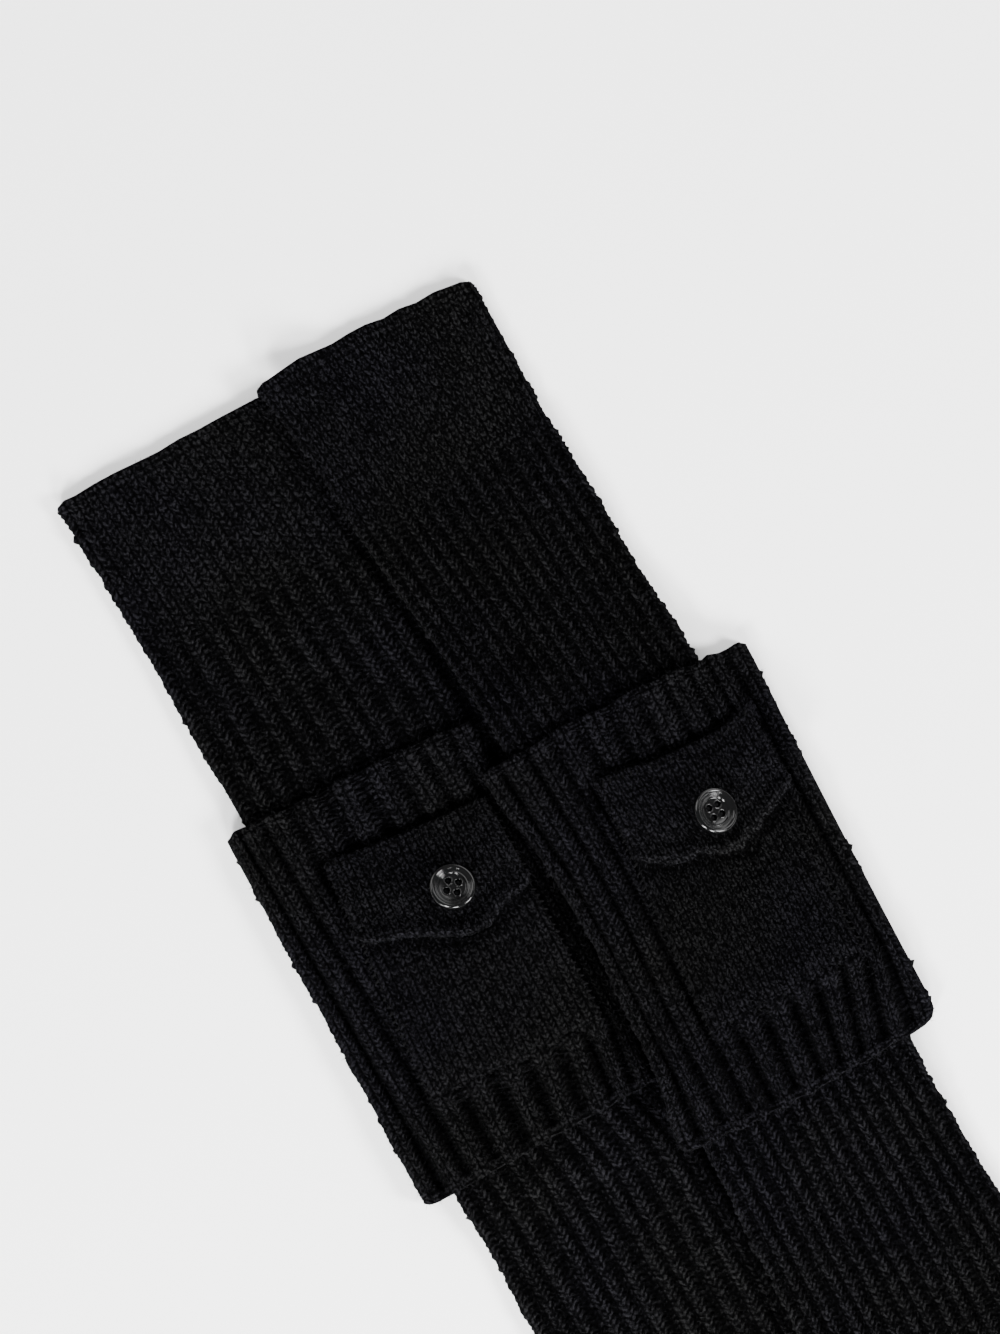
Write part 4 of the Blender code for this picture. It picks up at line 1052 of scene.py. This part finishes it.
# ---------------------------------------------------------------- yarn and resin
class Nodes:
    """Shader nodes of one material, made a line at a time."""

    def __init__(self, name):
        self.material = bpy.data.materials.new(name)
        self.material.use_nodes = True
        self.tree = self.material.node_tree
        self.shader = self.tree.nodes["Principled BSDF"]
        self.where = self.node("ShaderNodeTexCoord").outputs["Object"]

    def node(self, kind, **settings):
        made = self.tree.nodes.new(kind)
        for key, value in settings.items():
            setattr(made, key, value)
        return made

    def link(self, source, socket):
        self.tree.links.new(source, socket)

    def math(self, operation, *values):
        made = self.node("ShaderNodeMath", operation=operation)
        for socket, value in zip(made.inputs, values):
            if isinstance(value, (int, float)):
                socket.default_value = value
            else:
                self.link(value, socket)
        return made.outputs[0]

    def vector(self, operation, *values):
        made = self.node("ShaderNodeVectorMath", operation=operation)
        for socket, value in zip(made.inputs, values):
            if isinstance(value, tuple):
                socket.default_value = value
            else:
                self.link(value, socket)
        return made.outputs[0]

    def range(self, value, low, high):
        """0 at low and 1 at high, held between them."""
        made = self.node("ShaderNodeMapRange")
        made.inputs["From Min"].default_value = low
        made.inputs["From Max"].default_value = high
        self.link(value, made.inputs["Value"])
        return made.outputs["Result"]

    def noise(self, where, scale, detail, roughness=0.6, output="Fac"):
        made = self.node("ShaderNodeTexNoise")
        made.inputs["Scale"].default_value = scale
        made.inputs["Detail"].default_value = detail
        made.inputs["Roughness"].default_value = roughness
        self.link(where, made.inputs["Vector"])
        return made.outputs[output]

    def relief(self, height, strength, distance):
        """Bumps on the surface."""
        made = self.node("ShaderNodeBump")
        made.inputs["Strength"].default_value = strength
        made.inputs["Distance"].default_value = distance
        self.link(height, made.inputs["Height"])
        self.link(made.outputs["Normal"], self.shader.inputs["Normal"])

    def surface(self, values):
        """Plain values of the surface."""
        for key, value in values.items():
            self.shader.inputs[key].default_value = value

    def ramp(self, value, stops):
        made = self.node("ShaderNodeValToRGB")
        while len(made.color_ramp.elements) < len(stops):
            made.color_ramp.elements.new(0.5)
        for element, (place, colour) in zip(made.color_ramp.elements, stops):
            element.position = place
            element.color = (*colour, 1.0)
        self.link(value, made.inputs["Fac"])
        return made.outputs["Color"]


def yarn(name, brightness=1.0):
    """Soft black wool in V stitches: pale fibres along its strands, with painted shade in the
    hollows and gaps between them and painted shade and highlights from the low attribute.
    """
    n = Nodes(name)
    stitches = n.node("ShaderNodeUVMap", uv_map="stitches").outputs["UV"]
    sway = n.vector("MULTIPLY_ADD", n.noise(n.where, 480.0, 2.0, output="Color"),
                    (0.30, 0.44, 0.0), (-0.15, -0.22, 0.0))
    parts = n.node("ShaderNodeSeparateXYZ")
    n.link(n.vector("ADD", stitches, sway), parts.inputs[0])
    across = parts.outputs["X"]
    purl = n.node("ShaderNodeAttribute", attribute_name="purl").outputs["Fac"]
    low = n.node("ShaderNodeAttribute", attribute_name="low").outputs["Fac"]
    spread = n.math("ABSOLUTE", n.math("MULTIPLY_ADD", n.math("FRACT", across), 2.0, -1.0))
    flat_part = n.math("SUBTRACT", 1.0, purl)
    middle = n.math("MULTIPLY", n.math("SUBTRACT", 1.0, spread), flat_part)
    rise = n.math("MULTIPLY", n.math("SUBTRACT", 1.0, middle), CHEVRON)
    course = n.math("SUBTRACT", parts.outputs["Y"], rise)
    t = n.math("FRACT", course)
    bead = n.math("SINE", n.math("MULTIPLY", t, math.pi))
    strand = n.math("SINE", n.math("MULTIPLY_ADD", spread, 0.9 * math.pi, 0.1 * math.pi))
    strand = n.math("POWER", n.math("MAXIMUM", strand, 0.0), 0.6)
    between = n.math("MULTIPLY", n.range(spread, 0.78, 1.0), flat_part)
    knit_height = n.math("MULTIPLY", strand, n.math("MULTIPLY_ADD", bead, 0.85, 0.15))
    purl_height = n.math("MULTIPLY", bead, 0.8)
    difference = n.math("SUBTRACT", purl_height, knit_height)
    height = n.math("MULTIPLY_ADD", difference, purl, knit_height)

    leg = n.math("FLOOR", n.math("MULTIPLY", across, 2.0))
    stitch = n.node("ShaderNodeCombineXYZ")
    n.link(leg, stitch.inputs[0])
    n.link(n.math("FLOOR", course), stitch.inputs[1])
    own = n.node("ShaderNodeTexWhiteNoise", noise_dimensions="2D")
    n.link(stitch.outputs[0], own.inputs["Vector"])
    along = n.node("ShaderNodeCombineXYZ")
    n.link(n.math("MULTIPLY_ADD", spread, 4.0, n.math("MULTIPLY", t, 3.0)), along.inputs[0])
    n.link(n.math("MULTIPLY", course, 1.4), along.inputs[1])
    n.link(n.math("MULTIPLY", leg, 7.3), along.inputs[2])
    ply = n.range(n.noise(along.outputs[0], 1.0, 2.0), 0.36, 0.64)
    fibre = n.noise(n.where, 2000.0, 3.0, 0.7)
    tuft = n.noise(n.where, 850.0, 2.0, 0.7)
    patch = n.noise(n.where, 70.0, 3.0)
    relief = n.math("MULTIPLY_ADD", ply, 0.35, n.math("MULTIPLY", height, 1.1))
    relief = n.math("MULTIPLY_ADD", tuft, 1.5, n.math("MULTIPLY_ADD", fibre, 1.1, relief))
    n.relief(relief, 1.0, 0.0006)

    # painted shade: the hollows of each stitch are darker
    tone = n.range(height, 0.06, 0.98)
    for value, gain, base in (
        (own.outputs["Value"], 0.55, 0.55), (ply, 0.7, 0.5),
        (n.range(tuft, 0.40, 0.60), 1.9, 0.1), (n.range(fibre, 0.36, 0.64), 1.3, 0.3),
    ):
        tone = n.math("MULTIPLY", tone, n.math("MULTIPLY_ADD", value, gain, base))
    # the fibre specks fade in the hollows too, as painted shade
    speck = n.math("MULTIPLY", n.range(fibre, 0.58, 0.74), 0.35)
    tone = n.math("MULTIPLY_ADD", speck, n.math("MULTIPLY_ADD", height, 0.8, 0.2), tone)
    # painted shade in the gaps between wales
    tone = n.math("MULTIPLY", tone, n.math("MULTIPLY_ADD", between, -0.4, 1.0))
    # painted shade from low in grooves, troughs and shadows, and painted highlights where low is
    # negative
    painted_light_factor = n.math("SUBTRACT", 1.0, n.math("MULTIPLY", low, 0.6))
    tone = n.math("MULTIPLY", tone, painted_light_factor)
    tone = n.math("MULTIPLY", tone, n.math("MULTIPLY_ADD", patch, 0.9, 0.55))
    b = brightness
    colour = n.ramp(tone, [
        (0.0, (0.00060 * b, 0.00060 * b, 0.00062 * b)),
        (0.30, (0.00200 * b, 0.00200 * b, 0.00205 * b)),
        (1.0, (0.01050 * b, 0.01050 * b, 0.01080 * b)),
    ])
    bluish = n.node("ShaderNodeMix", data_type="RGBA", blend_type="MULTIPLY")
    bluish.inputs[7].default_value = (0.95, 0.92, 1.12, 1.0)
    n.link(n.range(n.noise(n.where, 13.0, 2.0, 0.6), 0.40, 0.60), bluish.inputs[0])
    n.link(colour, bluish.inputs[6])
    n.link(bluish.outputs[2], n.shader.inputs["Base Color"])
    n.surface({
        "Roughness": 1.0, "Specular IOR Level": 0.004, "Sheen Weight": 0.005,
        "Sheen Roughness": 0.3,
    })
    return n.material


def thread(name, colour):
    """Plain black thread or a single fibre of the wool."""
    n = Nodes(name)
    twist = n.noise(n.where, 2400.0, 2.0)
    dark = tuple(0.4 * part for part in colour)
    n.link(n.ramp(twist, [(0.35, dark), (0.65, colour)]), n.shader.inputs["Base Color"])
    n.relief(twist, 0.5, 0.0002)
    n.surface({"Roughness": 1.0, "Specular IOR Level": 0.01})
    return n.material


def button_resin():
    """Glossy black resin with faint polishing marks."""
    n = Nodes("black_button_resin")
    cloud = n.noise(n.where, 700.0, 4.0)
    fine = n.noise(n.where, 5200.0, 2.0)
    n.link(n.ramp(cloud, [(0.3, (0.0008, 0.0008, 0.0009)), (0.7, (0.0016, 0.0016, 0.0017))]),
           n.shader.inputs["Base Color"])
    n.link(n.math("MULTIPLY_ADD", cloud, 0.08, 0.04), n.shader.inputs["Roughness"])
    n.relief(n.math("ADD", fine, cloud), 0.12, 0.0001)
    n.surface({"Specular IOR Level": 0.25})
    return n.material


def floor_paper():
    """Pale matt paper."""
    n = Nodes("pale_floor")
    cloud = n.noise(n.where, 4.0, 3.0)
    n.link(n.ramp(cloud, [(0.3, (0.90, 0.90, 0.90)), (0.7, (0.93, 0.93, 0.93))]),
           n.shader.inputs["Base Color"])
    n.surface({"Roughness": 0.9})
    return n.material


# ---------------------------------------------------------------- the two socks
leg_yarn = yarn("black_leg_yarn", 1.02)
band_yarn = yarn("black_band_yarn", 0.97)
pocket_yarn = yarn("black_pocket_yarn", 0.82)
flap_yarn = yarn("black_flap_yarn", 0.97)
sewing_thread = thread("black_sewing_thread", (0.0050, 0.0050, 0.0053))
loose_fibre = thread("black_wool_fibre", (0.0140, 0.0140, 0.0155))
resin = button_resin()


class Sock(NamedTuple):
    """What differs between the two socks."""
    word: str
    letter: str
    leg: list
    ribs: int
    knit_share: float       # a rib's share of its pitch
    depth: float            # of the grooves between a leg's ribs
    band: list
    grooves: list
    pocket: tuple
    flap: list
    wales: int              # of its pocket and of its flap
    button: tuple
    leg_fibres: int
    band_fibres: int
    rests_on: list

    def node(self, part):
        """The name of a solid."""
        return "sock_" + self.letter + "_" + part

    def piece(self, part):
        """The name of a knitted or sewn piece."""
        return self.word + "_" + part


LEFT = Sock(
    "left", "l", LEFT_LEG, 12, 0.58, 0.65, LEFT_BAND, LEFT_GROOVES, LEFT_POCKET, LEFT_FLAP, 21,
    LEFT_BUTTON, 3600, 3000, [],
)
RIGHT = Sock(
    "right", "r", RIGHT_LEG, 15, 0.60, 0.6, RIGHT_BAND, RIGHT_GROOVES, RIGHT_POCKET,
    RIGHT_FLAP, 23, RIGHT_BUTTON, 3600, 3200, ["left_leg_knit"],
)
SOCKS = (LEFT, RIGHT)


def dress(made, node, material, rests_on):
    """Puts a knitted cloth in its solid's place."""
    obj, area, across, along = made
    obj.data.materials.append(material)
    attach(obj, "root")
    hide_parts(node)
    flat = (across * MM, along * MM)
    area = min(area * 1e-6, flat[0] * flat[1])


for sock in SOCKS:
    node = sock.node("body")
    dress(
        knit_sock_leg(
            sock.piece("leg_knit"), node, sock.leg, sock.band, sock is RIGHT, sock.ribs,
            sock.knit_share, sock.depth, RIGHT_LEG if sock is LEFT else None,
        ),
        node, leg_yarn, sock.rests_on,
    )
for sock in SOCKS:
    node = sock.node("band")
    dress(
        knit_band(
            sock.piece("band_knit"), node, sock.band, sock.grooves, sock.pocket, sock.flap,
        ),
        node, band_yarn, [sock.piece("leg_knit")],
    )
for sock in SOCKS:
    node = sock.node("pocket")
    rows = evenly(pocket_rows(sock.pocket), ROW, 0)
    dress(
        knit_patch(
            sock.piece("pocket_knit"), Wrap(rows, Faces(node, filled=0)), sock.wales,
            (0.35, 0.0), (1.0, 1.0, 1.3, 0.0), sock.flap,
            pressed=[column[2:] for column in sock.flap],
        ),
        node, pocket_yarn, [sock.piece("band_knit")],
    )
    node = sock.node("flap")
    dress(
        knit_patch(
            sock.piece("flap_knit"), FlapWrap(sock.flap, Faces(node, filled=0)), sock.wales,
            (0.7, 1.3), (0.0, 0.0, 0.0, 0.7), sock.flap, lifted=0.8, dimple=sock.button[:2],
        ),
        node, flap_yarn, [sock.piece("pocket_knit")],
    )
    sew_button(sock.word, sock.node("button"), *sock.button)

STITCH_PITCH = 2.7
for sock in SOCKS:
    pocket = surfaces[sock.piece("pocket_knit")]
    flap = surfaces[sock.piece("flap_knit")]
    last = sock.wales * COLUMNS
    seam = slice(COLUMNS, last - COLUMNS + 1, ROWS)
    trim(
        overcast(sock.piece("pocket_stitches"), [
            (pocket[4::ROWS, 1], (-1.0, 0.0, 0.0)),
            (pocket[4::ROWS, last - 1], (1.0, 0.0, 0.0)),
            (pocket[-4, seam], (0.0, -1.0, 0.0)),
        ], STITCH_PITCH, 1.25),
        sewing_thread,
    )
    trim(
        overcast(sock.piece("flap_stitches"), [(flap[4, seam], (0.0, 1.0, 0.0))],
                 STITCH_PITCH, 1.2),
        sewing_thread,
    )
for part, counts in (
    ("leg", [sock.leg_fibres for sock in SOCKS]), ("band", [sock.band_fibres for sock in SOCKS]),
    ("pocket", [400, 400]), ("flap", [500, 500]),
):
    for sock, count in zip(SOCKS, counts):
        cloth = sock.piece(part)
        trim(fibres(cloth + "_fibres", cloth + "_knit", count, 0.6, 2.2), loose_fibre)

# ---------------------------------------------------------------- floor, light and camera
FLOOR_DROP = 0.0004     # metres below what lies on it
bm = bmesh.new()
bmesh.ops.create_grid(bm, x_segments=1, y_segments=1, size=4.0)
bmesh.ops.translate(bm, verts=bm.verts[:], vec=(0.0, 0.0, -FLOOR_DROP))
floor_mesh = bpy.data.meshes.new("floor")
bm.to_mesh(floor_mesh)
bm.free()
floor_mesh.materials.append(floor_paper())
linked("floor", floor_mesh)

CAMERA_AT = (ORIGIN[0] * MM, ORIGIN[1] * MM)
CAMERA_HEIGHT = 2.6
CAMERA_TURN = -29.5
CLOTH_HEIGHT = 0.008    # the level that the picture's scale holds at
PICTURE_HEIGHT = 1334
SENSOR = 24.0
PIXEL = 0.317 * MM
camera_data = bpy.data.cameras.new("camera")
camera_data.sensor_fit = "VERTICAL"
camera_data.sensor_height = SENSOR
camera_data.lens = SENSOR * (CAMERA_HEIGHT - CLOTH_HEIGHT) / (PICTURE_HEIGHT * PIXEL)
camera = bpy.data.objects.new("camera", camera_data)
camera.location = (*CAMERA_AT, CAMERA_HEIGHT)
camera.rotation_euler = (0.0, 0.0, math.radians(CAMERA_TURN))
bpy.context.scene.collection.objects.link(camera)
bpy.context.scene.camera = camera


def area_light(name, place, aim, size, power):
    """A round panel of light, in metres and watts, turned towards a point."""
    data = bpy.data.lights.new(name, "AREA")
    data.shape = "DISK"
    data.size = size
    data.energy = power
    light = bpy.data.objects.new(name, data)
    light.location = place
    direction = Vector(aim) - Vector(place)
    light.rotation_euler = direction.to_track_quat("-Z", "Y").to_euler()
    bpy.context.scene.collection.objects.link(light)


area_light("key", (0.95, -0.92, 1.00), (0.02, 0.0, 0.0), 0.6, 70.0)
area_light("side", (-1.00, -0.85, 0.85), (0.0, 0.0, 0.0), 0.4, 56.0)
area_light("front", (-0.36, -1.42, 0.75), (0.0, 0.0, 0.0), 0.5, 66.0)
area_light("low_side", (-1.20, -0.56, 0.26), (0.0, 0.0, 0.0), 0.3, 10.0)
for number, angle in enumerate((30.0, 110.0), start=1):
    turn = math.radians(angle)
    place = (1.45 * math.cos(turn), 1.45 * math.sin(turn), 0.85)
    area_light("panel_%d" % number, place, (0.0, 0.0, 0.0), 1.2, 24.0)
world = bpy.data.worlds.new("studio")
world.use_nodes = True
world.node_tree.nodes["Background"].inputs["Color"].default_value = (1.0, 1.0, 1.0, 1.0)
world.node_tree.nodes["Background"].inputs["Strength"].default_value = 0.5
bpy.context.scene.world = world
